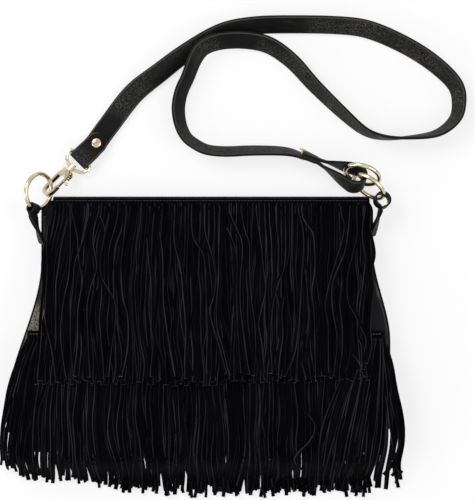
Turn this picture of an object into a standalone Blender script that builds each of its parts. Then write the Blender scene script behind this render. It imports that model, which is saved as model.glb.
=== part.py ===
"""Fringed suede shoulder bag, lying on its back with the strap laid out above it.

Metres, +Z up. The bag lies with its back panel on Z = 0, its front towards +Z and its
mouth towards +Y. The origin is on the outer face of the back panel, near its middle.
"""

import math

import bmesh
import bpy
from mathutils import Matrix, Vector

COLLECTION = "fringed_suede_bag"
CUTTERS = "cutters"

# Leather, suede and the gap between pieces that touch
PANEL_T = 0.0016
FLAP_T = 0.0018
FRINGE_T = 0.0012
STRAP_T = 0.0030
TAB_T = 0.0015
GAP = 0.0003
FLOOR = 0.0003

# Body outline, seen from above
TOP_Y = 0.116
BOTTOM_Y = -0.118
TOP_HALF = {-1: 0.1525, 1: 0.1560}
FLARE = {-1: 0.0325, 1: 0.0160}
FLARE_TOP = {-1: 0.060, 1: 0.070}
FLARE_BOTTOM = {-1: -0.080, 1: -0.015}
BOTTOM_CORNER = 0.030
TOP_CORNER = 0.010
FRONT_INSET = 0.005
FRONT_TOP_DROP = 0.004
SEAM = 0.0025
SEAM_ALLOWANCE = 0.0010

# Body depth
MOUTH_HEIGHT = 0.011
BODY_HEIGHT = 0.046
RIM_AT_MOUTH = 0.010
RIM_AT_BOTTOM = 0.032
FULLEST = 0.62
CROWN_POWER = 3.0

# Flap
FLAP_HEM = 0.008
FOLD_Y = 0.110
FOLD_R = 0.0085
FLAP_END_Y = 0.015
FLAP_SNAP_SPACE = 0.0032
FLAP_SIDE_DROP = 0.006
FLAP_SHOULDER = 0.001
FLAP_LEFT_AT_FOLD = 0.1400
FLAP_LEFT = 0.1500
FLAP_RIGHT = 0.1515

# Fringe
STRIP_PITCH = 0.0050
STRIP_WIDTH = 0.0043
BAND_ANGLES = (46.0, 65.0, 84.0)
LOOSE_LAY = 0.0023
UPPER_TIP_Y = -0.050
LOWER_BAND_TOP = -0.004
LOWER_CUT_Y = -0.014
LOWER_TIP_Y = -0.149
LOWER_HALF_TOP = {-1: 0.163, 1: 0.164}
LOWER_HALF_TIP = {-1: 0.187, 1: 0.181}
TIP_SPREAD = 0.005
FRINGE_FALL_START = 0.004
FRINGE_FALL = 0.030
FRINGE_SWAY = 0.0030
SWAY_WAVE = 0.033
SETTLE = 0.0026

# Snap under the flap
SNAP_X = 0.001
SNAP_Y = 0.040
SNAP_R = 0.007
SNAP_T = 0.0010

# Rings
RING_R = 0.016
WIRE_R = 0.002

LEFT_RING_CENTRE = Vector((-0.1530, 0.1240, 0.0195))
LEFT_RING_HEADING = math.radians(80.0)
LEFT_RING_TILT = math.radians(50.0)
LEFT_TAB_ANGLE = math.radians(190.0)
LEFT_HOOK_ANGLE = math.radians(70.0)
LEFT_TAB_ROOT_Y = 0.0760
LEFT_TAB_BORE = 0.0036

RIGHT_RING_CENTRE = Vector((0.1508, 0.1285, 0.0172))
RIGHT_RING_HEADING = math.radians(-37.0)
RIGHT_RING_TILT = math.radians(67.0)
RIGHT_TAB_ROOT_Y = 0.0830
RIGHT_TAB_BORE = 0.0062

STRAP_RING_CENTRE = Vector((0.1449, 0.1394, 0.0165))
STRAP_RING_HEADING = math.radians(-17.6)
STRAP_RING_TILT = math.radians(62.0)

TAB_WIDTH = 0.009
TAB_LAYER_GAP = 0.0004
TAB_BELOW_SEAM = 0.0015
TAB_STAND = 0.0004

# Strap
STRAP_W = 0.020
STRAP_TIP_R = 0.0098
FOLD_GAP = 0.0005

# Route of the strap's middle line from the clip to the right ring: X, Y, roll in degrees
# from lying flat, and lift above the surface
STRAP_ROUTE = (
    (-0.1010, 0.1700, 0, 0.0005),
    (-0.0890, 0.1865, 0, 0.0005),
    (-0.0672, 0.2144, 12, 0.0),
    (-0.0432, 0.2337, 28, 0.0),
    (-0.0147, 0.2548, 40, 0.0),
    (0.0147, 0.2714, 43, 0.0),
    (0.0432, 0.2775, 43, 0.0),
    (0.0782, 0.2788, 43, 0.0),
    (0.1251, 0.2778, 43, 0.0),
    (0.1536, 0.2732, 43, 0.0),
    (0.1868, 0.2585, 45, 0.0),
    (0.2134, 0.2410, 48, 0.0),
    (0.2318, 0.2217, 54, 0.0),
    (0.2346, 0.2024, 60, 0.0),
    (0.2291, 0.1886, 66, 0.0),
    (0.2134, 0.1776, 74, 0.0),
    (0.1886, 0.1739, 84, 0.0),
    (0.1665, 0.1739, 94, 0.0),
    (0.1481, 0.1794, 104, 0.0),
    (0.1288, 0.1950, 114, 0.0),
    (0.1012, 0.2217, 122, 0.0),
    (0.0810, 0.2438, 128, 0.0),
    (0.0598, 0.2590, 133, 0.0),
    (0.0377, 0.2640, 135, 0.001),
    (0.0147, 0.2630, 134, 0.003),
    (-0.0010, 0.2570, 130, 0.005),
    (-0.0095, 0.2460, 125, 0.002),
    (-0.0160, 0.2300, 122, 0.0),
    (-0.0221, 0.2162, 122, 0.0),
    (-0.0248, 0.2015, 122, 0.0),
    (-0.0230, 0.1868, 120, 0.0),
    (-0.0175, 0.1748, 118, 0.0),
    (-0.0083, 0.1674, 118, 0.0),
    (0.0028, 0.1625, 117, 0.0),
    (0.0202, 0.1610, 117, 0.0),
    (0.0432, 0.1619, 116, 0.0),
    (0.0727, 0.1612, 112, 0.0),
    (0.0890, 0.1570, 103, 0.0005),
    (0.1040, 0.1505, 96, 0.0010),
)
STRAP_STEPS = 3
STRAP_STAND = 0.0008
STRAP_LOOP_CENTRE = Vector((0.1378, 0.1362, 0.0163))
STRAP_LOOP_LEAN = Vector((-0.15, 0.55, 0.82))
STRAP_LOOP_BORE = 0.0080
LEFT_TONGUE = 0.0300
LEFT_TONGUE_ROWS = (0.0300, 0.0290, 0.0270, 0.0240, 0.0200, 0.0150, 0.0110, 0.0070, 0.0030)
LEFT_TONGUE_RISE = 0.0150
LEFT_UNDER_ROWS = (0.0040, 0.0080, 0.0120)
RIGHT_TONGUE = 0.0220

# Clip, measured along its own axis from the middle of the eye's bar
CLIP_BAR = Vector((-0.1150, 0.1550, 0.0068))
CLIP_WIRE_R = 0.0017
EYE_HALF = 0.0125
EYE_DEPTH = 0.0125
COLLAR_START = 0.0115
COLLAR_END = 0.0155
COLLAR_R = 0.0036
STEM_R = 0.0015
STEM_HEAD_R = 0.0026
STEM_HEAD_T = 0.0016
HOOK_START = 0.0159
HOOK_T = 0.0034
HOOK_BODY_T = 0.0060
HOOK_BODY_END = 0.0235
HOOK_ROLL = math.radians(50.0)
JAW_R = 0.0054
HOOK_RIM = 0.0026
JAW_PAST_RING = 0.0012
PIVOT_ALONG = 0.0205
PIVOT_SIDE = 0.0062
PIN_R = 0.0008
TRIGGER_T = 0.0020
TRIGGER_HUB_R = 0.0018
GATE_END = 0.0335
GATE_HALF = 0.0011
KNOB_REACH = 0.0070
KNOB_R = 0.0016
POST_R = 0.0008

# Rivets through the strap's folded ends
RIVET_HEAD_R = 0.0042
RIVET_HEAD_T = 0.0010
RIVET_STEM_R = 0.0016
RIVET_FROM_BAR = 0.0200
RIVET_EASE = 0.0006

UP = Vector((0.0, 0.0, 1.0))


def clamp(value, low=0.0, high=1.0):
    return max(low, min(high, value))


def ease(value):
    value = clamp(value)
    return value * value * (3.0 - 2.0 * value)


def mix(a, b, t):
    return a + (b - a) * t


def smooth_max(a, b, softness):
    return 0.5 * (a + b + math.sqrt((a - b) ** 2 + softness ** 2))


# Scene set-up and small helpers

def clear_scene():
    for obj in list(bpy.data.objects):
        bpy.data.objects.remove(obj, do_unlink=True)
    for collection in list(bpy.data.collections):
        bpy.data.collections.remove(collection)


def new_collection(name):
    collection = bpy.data.collections.new(name)
    bpy.context.scene.collection.children.link(collection)
    return collection


def new_material(name, colour, roughness, metallic=0.0):
    material = bpy.data.materials.new(name)
    material.use_nodes = True
    shader = material.node_tree.nodes["Principled BSDF"]
    shader.inputs["Base Color"].default_value = (*colour, 1.0)
    shader.inputs["Roughness"].default_value = roughness
    shader.inputs["Metallic"].default_value = metallic
    return material


def add_object(name, mesh, material, collection=COLLECTION):
    obj = bpy.data.objects.new(name, mesh)
    bpy.data.collections[collection].objects.link(obj)
    if material is not None:
        mesh.materials.clear()
        mesh.materials.append(material)
    return obj


def mesh_from(bm, name):
    bmesh.ops.recalc_face_normals(bm, faces=bm.faces)
    mesh = bpy.data.meshes.new(name)
    bm.to_mesh(mesh)
    bm.free()
    return mesh


def shade(obj, angle=35.0):
    obj.data.shade_smooth()
    obj.data.set_sharp_from_angle(angle=math.radians(angle))


def solidify(obj, thickness):
    wall = obj.modifiers.new("wall", "SOLIDIFY")
    wall.thickness = thickness
    wall.offset = 0.0


def boolean(obj, other, operation):
    cut = obj.modifiers.new(operation.lower(), "BOOLEAN")
    cut.operation = operation
    cut.object = other
    other.hide_render = True
    other.display_type = "WIRE"


def surface(name, columns, rows, place, thickness, material, keep=None):
    """A grid whose vertices go to place(column, row), with a wall given by Solidify."""
    bm = bmesh.new()
    bmesh.ops.create_grid(bm, x_segments=columns, y_segments=rows, size=0.5)
    slots = {}
    for vert in bm.verts:
        slots[vert] = (round((vert.co.x + 0.5) * columns), round((vert.co.y + 0.5) * rows))
    if keep is not None:
        dropped = []
        for face in bm.faces:
            if not keep(min(slots[vert][0] for vert in face.verts), min(slots[vert][1] for vert in face.verts)):
                dropped.append(face)
        bmesh.ops.delete(bm, geom=dropped, context="FACES")
    for vert in bm.verts:
        vert.co = place(*slots[vert])
    mesh = mesh_from(bm, name)
    obj = add_object(name, mesh, material)
    solidify(obj, thickness)
    shade(obj)
    return obj


def ribbon(name, stations, thickness, material):
    """A strip through stations of (middle, width direction, half width)."""
    def place(column, row):
        middle, across, half = stations[row]
        return middle + across * half * (2.0 * column - 1.0)

    return surface(name, 1, len(stations) - 1, place, thickness, material)


def cylinder(name, start, end, radius, material=None, segments=16, collection=COLLECTION):
    bm = bmesh.new()
    length = (end - start).length
    bmesh.ops.create_cone(bm, cap_ends=True, segments=segments, radius1=radius, radius2=radius, depth=length)
    turn = UP.rotation_difference(end - start).to_matrix().to_4x4()
    bmesh.ops.transform(bm, matrix=Matrix.Translation((start + end) / 2) @ turn, verts=bm.verts)
    obj = add_object(name, mesh_from(bm, name), material, collection)
    shade(obj)
    return obj


def mesh_of(curve_object):
    """The closed mesh of a curve object, which is removed."""
    evaluated = curve_object.evaluated_get(bpy.context.evaluated_depsgraph_get())
    mesh = bpy.data.meshes.new_from_object(evaluated)
    place = curve_object.matrix_world.copy()
    bpy.data.objects.remove(curve_object, do_unlink=True)
    bm = bmesh.new()
    bm.from_mesh(mesh)
    bmesh.ops.remove_doubles(bm, verts=bm.verts, dist=0.00001)
    bmesh.ops.transform(bm, matrix=place, verts=bm.verts)
    bmesh.ops.recalc_face_normals(bm, faces=bm.faces)
    bm.to_mesh(mesh)
    bm.free()
    return mesh


def wire(name, points, radius, cyclic=False):
    """A round wire along points, as a mesh."""
    curve = bpy.data.curves.new(name, "CURVE")
    curve.dimensions = "3D"
    curve.bevel_depth = radius
    curve.bevel_resolution = 2
    curve.use_fill_caps = True
    spline = curve.splines.new("POLY")
    spline.points.add(len(points) - 1)
    for slot, point in zip(spline.points, points):
        slot.co = (*point, 1.0)
    spline.use_cyclic_u = cyclic
    obj = bpy.data.objects.new(name, curve)
    bpy.data.collections[COLLECTION].objects.link(obj)
    bpy.context.view_layer.update()
    return mesh_of(obj)


def plate(name, outline, thickness):
    """A flat outline in the XY plane with a thickness along Z, as a mesh."""
    curve = bpy.data.curves.new(name, "CURVE")
    curve.dimensions = "2D"
    curve.fill_mode = "BOTH"
    curve.extrude = thickness / 2
    spline = curve.splines.new("POLY")
    spline.points.add(len(outline) - 1)
    for slot, point in zip(spline.points, outline):
        slot.co = (point[0], point[1], 0.0, 1.0)
    spline.use_cyclic_u = True
    obj = bpy.data.objects.new(name, curve)
    bpy.data.collections[COLLECTION].objects.link(obj)
    bpy.context.view_layer.update()
    return mesh_of(obj)


def arc(centre, radius, start, end, steps):
    """Points of a flat arc, its angles in degrees."""
    points = []
    for step in range(steps + 1):
        angle = math.radians(mix(start, end, step / steps))
        points.append((centre[0] + radius * math.cos(angle), centre[1] + radius * math.sin(angle)))
    return points


# Body outline and heights

def flare_half(side, y):
    reach = (FLARE_TOP[side] - y) / (FLARE_TOP[side] - FLARE_BOTTOM[side])
    return TOP_HALF[side] + FLARE[side] * ease(reach)


def corner_centre(side):
    y = BOTTOM_Y + BOTTOM_CORNER
    return flare_half(side, y) - BOTTOM_CORNER, y


def half_at(side, y, inset=0.0, top=TOP_Y):
    """Distance from the middle line to the outline's side at y."""
    half = flare_half(side, y) - inset
    low = BOTTOM_Y + BOTTOM_CORNER - y
    if low > 0.0:
        radius = BOTTOM_CORNER - inset
        half = corner_centre(side)[0] + math.sqrt(max(0.0, radius ** 2 - min(low, radius) ** 2))
    high = y - (top - TOP_CORNER)
    if high > 0.0:
        half -= TOP_CORNER - math.sqrt(max(0.0, TOP_CORNER ** 2 - min(high, TOP_CORNER) ** 2))
    return half


def beyond(x, y):
    """How far a point lies outside the front panel's outline, negative inside."""
    side = 1 if x > 0 else -1
    centre_x, centre_y = corner_centre(side)
    if y > centre_y:
        return abs(x) - flare_half(side, y) + FRONT_INSET
    radius = BOTTOM_CORNER - FRONT_INSET
    if abs(x) < centre_x:
        return centre_y - y - radius
    return math.hypot(abs(x) - centre_x, y - centre_y) - radius


def rim_height(y):
    return mix(RIM_AT_MOUTH, RIM_AT_BOTTOM, ease((TOP_Y - y) / (TOP_Y - BOTTOM_Y)))


def crown_height(y):
    down = clamp((TOP_Y - y) / (TOP_Y - BOTTOM_Y - FRONT_INSET))
    if down < FULLEST:
        return mix(MOUTH_HEIGHT, BODY_HEIGHT, math.sin(0.5 * math.pi * down / FULLEST))
    return mix(BODY_HEIGHT, rim_height(y), ((down - FULLEST) / (1.0 - FULLEST)) ** 2)


def front_z(x, y):
    """Height of the middle of the front panel's wall."""
    side = 1 if x > 0 else -1
    share = clamp(abs(x) / max(0.001, half_at(side, y, FRONT_INSET, TOP_Y + TOP_CORNER)))
    return mix(rim_height(y), crown_height(y), 1.0 - share ** CROWN_POWER)


def draped_z(x, y, lift):
    """Height of a soft layer that lies on the front panel and falls past its edge."""
    outside = beyond(x, y)
    if outside <= 0.0:
        return front_z(x, y) + lift
    floor = FLOOR + FRINGE_T / 2
    return mix(rim_height(y) + lift, floor, ease((outside - FRINGE_FALL_START) / FRINGE_FALL))


def panel_rows(top, inset):
    """Y of each row of a panel, closer together at its rounded corners."""
    bottom = BOTTOM_Y + inset
    corner = BOTTOM_CORNER - inset
    rows = [top - TOP_CORNER * (1.0 - math.cos(math.radians(a))) for a in (0, 40)]
    straight_top = top - TOP_CORNER
    straight_bottom = bottom + corner
    rows += [mix(straight_top, straight_bottom, step / 8) for step in range(9)]
    rows += [straight_bottom - corner * math.sin(math.radians(a)) for a in (22, 45, 68, 90)]
    return rows


def panel(name, top, inset, columns, height, material):
    rows = panel_rows(top, inset)

    def place(column, row):
        y = rows[row]
        share = math.sin(0.5 * math.pi * (2.0 * column / columns - 1.0))
        side = 1 if share > 0 else -1
        x = share * half_at(side, y, inset, top)
        return Vector((x, y, height(x, y)))

    return surface(name, columns, len(rows) - 1, place, PANEL_T, material)


def gusset_point(x_outer, y_outer, x_inner, y_inner, up):
    """A point of the gusset, from the back panel's seam (up 0) to the front panel's (up 1)."""
    low = PANEL_T + SEAM_ALLOWANCE
    high = front_z(x_inner, y_inner) - PANEL_T / 2 - SEAM_ALLOWANCE
    return Vector((mix(x_outer, x_inner, up), mix(y_outer, y_inner, up), mix(low, high, up)))


def side_gusset(name, side, material):
    top = FOLD_Y - FLAP_HEM - SEAM_ALLOWANCE
    bottom = BOTTOM_Y + BOTTOM_CORNER + GAP
    rows = 10

    def place(column, row):
        y = mix(top, bottom, row / rows)
        outer = side * (flare_half(side, y) - SEAM)
        inner = side * (flare_half(side, y) - FRONT_INSET - SEAM)
        return gusset_point(outer, y, inner, y, column / 2)

    return surface(name, 2, rows, place, PANEL_T, material)


def bottom_gusset(material):
    steps = 6
    stations = []
    for step in range(steps + 1):
        stations.append((-1, 180.0 + 90.0 * step / steps))
    for step in range(steps + 1):
        stations.append((1, 270.0 + 90.0 * step / steps))

    def place(column, row):
        side, angle = stations[row]
        centre_x, centre_y = corner_centre(side)
        turn = Vector((math.cos(math.radians(angle)), math.sin(math.radians(angle))))
        outer = BOTTOM_CORNER - SEAM
        inner = BOTTOM_CORNER - FRONT_INSET - SEAM
        centre = Vector((side * centre_x, centre_y - GAP))
        low = centre + turn * outer
        high = centre + turn * inner
        return gusset_point(low.x, low.y, high.x, high.y, column / 2)

    return surface("bottom_gusset", 2, len(stations) - 1, place, PANEL_T, material)


# Flap and fringe

def flap_side(side, y):
    if side > 0:
        return FLAP_RIGHT
    return mix(FLAP_LEFT_AT_FOLD, FLAP_LEFT, ease((FOLD_Y - y) / 0.05))


def fold_centre_z():
    return PANEL_T + GAP + FLAP_T / 2 + FOLD_R


def over_flap_z(x, y, lift):
    """Height of the flap (lift 0) or of a layer on it, in front of the fold."""
    top_of_fold = fold_centre_z() + FOLD_R - FLAP_SIDE_DROP * ease((FOLD_Y - y) / 0.06)
    on_front = front_z(x, y) + PANEL_T / 2 + FLAP_SNAP_SPACE + FLAP_T / 2
    return smooth_max(top_of_fold, on_front, FLAP_SHOULDER) + lift


def fold_point(x, angle, lift):
    reach = FOLD_R + lift
    turn = math.radians(angle)
    return Vector((x, FOLD_Y + reach * math.cos(turn), fold_centre_z() + reach * math.sin(turn)))


def flap(material):
    columns = 12
    hem = 1
    fold = 9
    front = 6
    rows = hem + fold + front

    def place(column, row):
        share = math.sin(0.5 * math.pi * (2.0 * column / columns - 1.0))
        side = 1 if share > 0 else -1
        if row < hem:
            low_z = fold_centre_z() - FOLD_R
            return Vector((share * flap_side(side, FOLD_Y), FOLD_Y - FLAP_HEM, low_z))
        if row <= hem + fold:
            angle = mix(-90.0, 90.0, (row - hem) / fold)
            return fold_point(share * flap_side(side, FOLD_Y), angle, 0.0)
        y = mix(FOLD_Y, FLAP_END_Y, (row - hem - fold) / front)
        x = share * flap_side(side, y)
        return Vector((x, y, over_flap_z(x, y, 0.0)))

    return surface("flap", columns, rows, place, FLAP_T, material)


def strip_columns(left, right):
    """Share of the width at each edge of each strip."""
    count = int((left + right + STRIP_PITCH - STRIP_WIDTH) / STRIP_PITCH)
    run = (count - 1) * STRIP_PITCH + STRIP_WIDTH
    edges = []
    for strip in range(count):
        edges.append(strip * STRIP_PITCH / run)
        edges.append((strip * STRIP_PITCH + STRIP_WIDTH) / run)
    return edges


def tip_shift(strip):
    """How much longer or shorter a strip is than its neighbours."""
    return TIP_SPREAD * (0.6 * math.sin(2.1 * strip) + 0.4 * math.sin(0.37 * strip + 1.0))


def sway(x, along):
    """Sideways drift of the strips, the same for neighbours so that none cross."""
    return FRINGE_SWAY * along * math.sin(x / SWAY_WAVE + 2.0 * along)


def upper_fringe(material):
    left = flap_side(-1, FOLD_Y)
    right = flap_side(1, FOLD_Y)
    edges = strip_columns(left, right)
    lift = FLAP_T / 2 + GAP + FRINGE_T / 2
    loose = lift + LOOSE_LAY
    angles = BAND_ANGLES
    shares = (0.13, 0.34, 0.56, 0.78, 1.0)
    rows = len(angles) + len(shares) - 1

    def place(column, row):
        x = mix(-left, right, edges[column])
        if row < len(angles):
            return fold_point(x, angles[row], lift)
        along = shares[row - len(angles)]
        y = mix(FOLD_Y, UPPER_TIP_Y + tip_shift(column // 2), along)
        side = 1 if x > 0 else -1
        x *= flap_side(side, y) / flap_side(side, FOLD_Y)
        settled = SETTLE * ease((FLAP_END_Y - y - FLAP_T) / 0.025)
        z = over_flap_z(x, y, loose) - settled
        return Vector((x + sway(x, along), y, z))

    def keep(column, row):
        return column % 2 == 0 or row < len(angles) - 1

    return surface("upper_fringe", len(edges) - 1, rows, place, FRINGE_T, material, keep)


def lower_fringe(material):
    edges = strip_columns(LOWER_HALF_TOP[-1], LOWER_HALF_TOP[1])
    sewn = PANEL_T / 2 + 2.0 * GAP + FRINGE_T / 2
    shares = (0.30, 0.56, 0.72, 0.86, 1.0)
    rows = 1 + len(shares)

    def place(column, row):
        along = 0.0 if row < 2 else shares[row - 2]
        if row == 0:
            y = LOWER_BAND_TOP
        else:
            y = mix(LOWER_CUT_Y, LOWER_TIP_Y + tip_shift(column // 2 + 7), along)
        left = mix(LOWER_HALF_TOP[-1], LOWER_HALF_TIP[-1], along)
        right = mix(LOWER_HALF_TOP[1], LOWER_HALF_TIP[1], along)
        x = mix(-left, right, edges[column])
        x += sway(x, along)
        return Vector((x, y, draped_z(x, y, sewn + LOOSE_LAY * ease(along / shares[0]))))

    def keep(column, row):
        return column % 2 == 0 or row < 1

    return surface("lower_fringe", len(edges) - 1, rows, place, FRINGE_T, material, keep)


# Rings and the tabs that hold them

class Ring:
    """A round wire ring: its level diameter and its steepest one."""

    def __init__(self, centre, heading, tilt, low_side):
        self.centre = centre
        self.level = Vector((math.cos(heading), math.sin(heading), 0.0))
        across = UP.cross(self.level) * low_side
        self.down = across * math.cos(tilt) - UP * math.sin(tilt)

    def at(self, angle):
        return self.centre + (self.level * math.cos(angle) + self.down * math.sin(angle)) * RING_R

    def along(self, angle):
        return self.down * math.cos(angle) - self.level * math.sin(angle)

    def build(self, name, material):
        bm = bmesh.new()
        steps = 30
        normal = self.level.cross(self.down)
        sides = 8
        for step in range(steps):
            turn = 2.0 * math.pi * step / steps
            outward = (self.at(turn) - self.centre).normalized()
            for side in range(sides):
                lean = 2.0 * math.pi * side / sides
                offset = outward * math.cos(lean) + normal * math.sin(lean)
                bm.verts.new(self.at(turn) + offset * WIRE_R)
        bm.verts.ensure_lookup_table()
        for step in range(steps):
            for side in range(sides):
                ahead = (step + 1) % steps * sides
                beside = (side + 1) % sides
                here = step * sides
                bm.faces.new([bm.verts[i] for i in (here + side, ahead + side, ahead + beside, here + beside)])
        obj = add_object(name, mesh_from(bm, name), material)
        shade(obj, 60.0)
        return obj


def loop_stations(root, ring_point, bore_axis, root_axis, bore, thickness, width, layer_gap):
    """Stations of a strip that runs from root, round the ring and back to root."""
    reach = ring_point - root
    straight = reach.normalized()
    radius = bore + thickness / 2
    half_gap = (thickness + layer_gap) / 2
    neck_angle = math.asin(half_gap / radius)
    toward = (straight - bore_axis * straight.dot(bore_axis)).normalized()
    sideways = bore_axis.cross(toward)
    neck = ring_point - toward * radius * math.cos(neck_angle)
    stations = []
    steps = 8
    for step in range(steps):
        share = step / steps
        axis = root_axis.lerp(bore_axis, ease(share)).normalized()
        side = axis.cross(straight).normalized()
        middle = root.lerp(neck, share)
        stations.append((middle - side * half_gap, axis, width / 2))
    turns = 18
    for step in range(turns + 1):
        angle = math.radians(180.0) + neck_angle + (2.0 * math.pi - 2.0 * neck_angle) * step / turns
        point = ring_point + (toward * math.cos(angle) + sideways * math.sin(angle)) * radius
        stations.append((point, bore_axis, width / 2))
    for middle, axis, half in reversed(stations[:steps]):
        side = axis.cross(straight).normalized()
        stations.append((middle + side * 2.0 * half_gap, axis, half))
    return stations


def gusset_seat(side, y):
    """Where a tab's sewn end lies on a side gusset, and the way up the gusset there."""
    outer = side * (flare_half(side, y) - SEAM)
    inner = outer - side * FRONT_INSET
    low = gusset_point(outer, y, inner, y, 0.0)
    high = gusset_point(outer, y, inner, y, 1.0)
    up = (high - low).normalized()
    outward = Vector((0.0, 1.0, 0.0)).cross(up) * side
    stand = PANEL_T / 2 + TAB_STAND + TAB_T + TAB_LAYER_GAP / 2
    return (low + high) / 2 - up * TAB_BELOW_SEAM + outward * stand, up


def tab(name, side, root_y, ring, angle, bore, material):
    root, up = gusset_seat(side, root_y)
    axis = ring.along(angle)
    if axis.z < 0.0:
        axis = -axis
    reach = ring.at(angle) - root
    toward = (reach - axis * reach.dot(axis)).normalized()
    bow = RING_R - math.sqrt(RING_R ** 2 - (TAB_WIDTH / 2) ** 2)
    eye = ring.at(angle) - toward * (bore - WIRE_R - GAP - bow)
    stations = loop_stations(root, eye, axis, up, bore, TAB_T, TAB_WIDTH, TAB_LAYER_GAP)
    return ribbon(name, stations, TAB_T, material)


# Strap

def catmull(points, steps):
    """Values along a smooth curve through points."""
    values = []
    last = len(points) - 1
    for index in range(last):
        before = points[max(0, index - 1)]
        start = points[index]
        end = points[index + 1]
        after = points[min(last, index + 2)]
        for step in range(steps):
            t = step / steps
            row = []
            for p0, p1, p2, p3 in zip(before, start, end, after):
                row.append(0.5 * (2 * p1 + (p2 - p0) * t + (2 * p0 - 5 * p1 + 4 * p2 - p3) * t * t
                                  + (3 * p1 - p0 - 3 * p2 + p3) * t ** 3))
            values.append(row)
    values.append(list(points[last]))
    return values


def route_stations():
    samples = catmull(STRAP_ROUTE, STRAP_STEPS)
    stations = []
    for index, (x, y, roll, lift) in enumerate(samples):
        before = samples[max(0, index - 1)]
        after = samples[min(len(samples) - 1, index + 1)]
        heading = Vector((after[0] - before[0], after[1] - before[1], 0.0)).normalized()
        turn = math.radians(roll)
        across = UP.cross(heading) * math.cos(turn) + UP * math.sin(turn)
        stand = STRAP_W / 2 * abs(math.sin(turn)) + STRAP_T / 2 * abs(math.cos(turn))
        stations.append((Vector((x, y, FLOOR + STRAP_STAND + max(0.0, lift) + stand)), across, STRAP_W / 2))
    return stations


def rounded_half(from_tip):
    """Half the width of a strap end at a distance from its rounded tip."""
    inside = max(0.0, STRAP_TIP_R - from_tip)
    return max(0.0015, math.sqrt(STRAP_TIP_R ** 2 - inside ** 2)) * STRAP_W / 2 / STRAP_TIP_R


def clip_axis():
    hook = left_ring().at(LEFT_HOOK_ANGLE)
    return (hook - CLIP_BAR).normalized()


def left_fold():
    """The strap's end round the clip's bar, from the tip of its tongue to its lower layer."""
    back = Vector((-clip_axis().x, -clip_axis().y, 0.0)).normalized()
    across = UP.cross(back)
    radius = CLIP_WIRE_R + FOLD_GAP + STRAP_T / 2
    lower = CLIP_BAR.z - radius
    tongue_z = lower + STRAP_T + TAB_LAYER_GAP
    stations = []
    for distance in LEFT_TONGUE_ROWS:
        rise = ease((LEFT_TONGUE_RISE - distance) / LEFT_TONGUE_RISE)
        middle = CLIP_BAR + back * distance
        middle.z = mix(tongue_z, CLIP_BAR.z + radius, rise)
        stations.append((middle, across, rounded_half(LEFT_TONGUE - distance)))
    for step in range(9):
        angle = math.radians(mix(90.0, 270.0, step / 8))
        middle = CLIP_BAR + back * radius * math.cos(angle) + UP * radius * math.sin(angle)
        stations.append((middle, across, STRAP_W / 2))
    for distance in LEFT_UNDER_ROWS:
        middle = CLIP_BAR + back * distance
        middle.z = lower
        stations.append((middle, across, STRAP_W / 2))
    return stations


def right_loop(route):
    """The strap's open loop round the two right rings and the tongue that lies back on it."""
    neck, neck_axis, half = route[-1]
    toward = (STRAP_LOOP_CENTRE - neck).normalized()
    axis = (STRAP_LOOP_LEAN - toward * STRAP_LOOP_LEAN.dot(toward)).normalized()
    sideways = axis.cross(toward)
    radius = STRAP_LOOP_BORE + STRAP_T / 2
    layer = STRAP_T + TAB_LAYER_GAP
    length = (STRAP_LOOP_CENTRE - neck).length
    tangent = 90.0 + math.degrees(math.asin(radius / length))
    stations = []
    arc_points = []
    for step in range(15):
        angle = math.radians(mix(-tangent, tangent, step / 14))
        arc_points.append(STRAP_LOOP_CENTRE + (toward * math.cos(angle) + sideways * math.sin(angle)) * radius)
    for share in (0.2, 0.4, 0.6, 0.8):
        lean = neck_axis.lerp(axis, ease(share)).normalized()
        stations.append((neck.lerp(arc_points[0], share), lean, half))
    for point in arc_points:
        stations.append((point, axis, half))
    back_neck = neck + sideways * layer
    for share in (0.8, 0.6, 0.4, 0.2):
        lean = neck_axis.lerp(axis, ease(share)).normalized()
        stations.append((back_neck.lerp(arc_points[-1], share), lean, half))
    travelled = 0.0
    for index in range(len(route) - 1, 0, -1):
        middle, lean, half = route[index]
        heading = (route[index][0] - route[index - 1][0]).normalized()
        offset = lean.cross(heading) * layer
        stations.append((middle + offset, lean, rounded_half(RIGHT_TONGUE - travelled)))
        travelled += (route[index][0] - route[index - 1][0]).length
        if travelled > RIGHT_TONGUE - 0.0005:
            break
    return stations


def strap(material):
    route = route_stations()
    stations = left_fold() + route + right_loop(route)
    return ribbon("strap", stations, STRAP_T, material)


def rivet(name, start, end, head_r, material):
    """A flat-headed rivet whose stem runs from start to end."""
    along = (end - start).normalized()
    body = cylinder(name, start - along * RIVET_HEAD_T, start, head_r, material)
    stem = cylinder(name + "_stem", start - along * RIVET_HEAD_T / 2, end + along * RIVET_HEAD_T / 2,
                    RIVET_STEM_R, collection=CUTTERS)
    cap = cylinder(name + "_cap", end, end + along * RIVET_HEAD_T, head_r, collection=CUTTERS)
    boolean(body, stem, "UNION")
    boolean(body, cap, "UNION")
    return body


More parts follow.
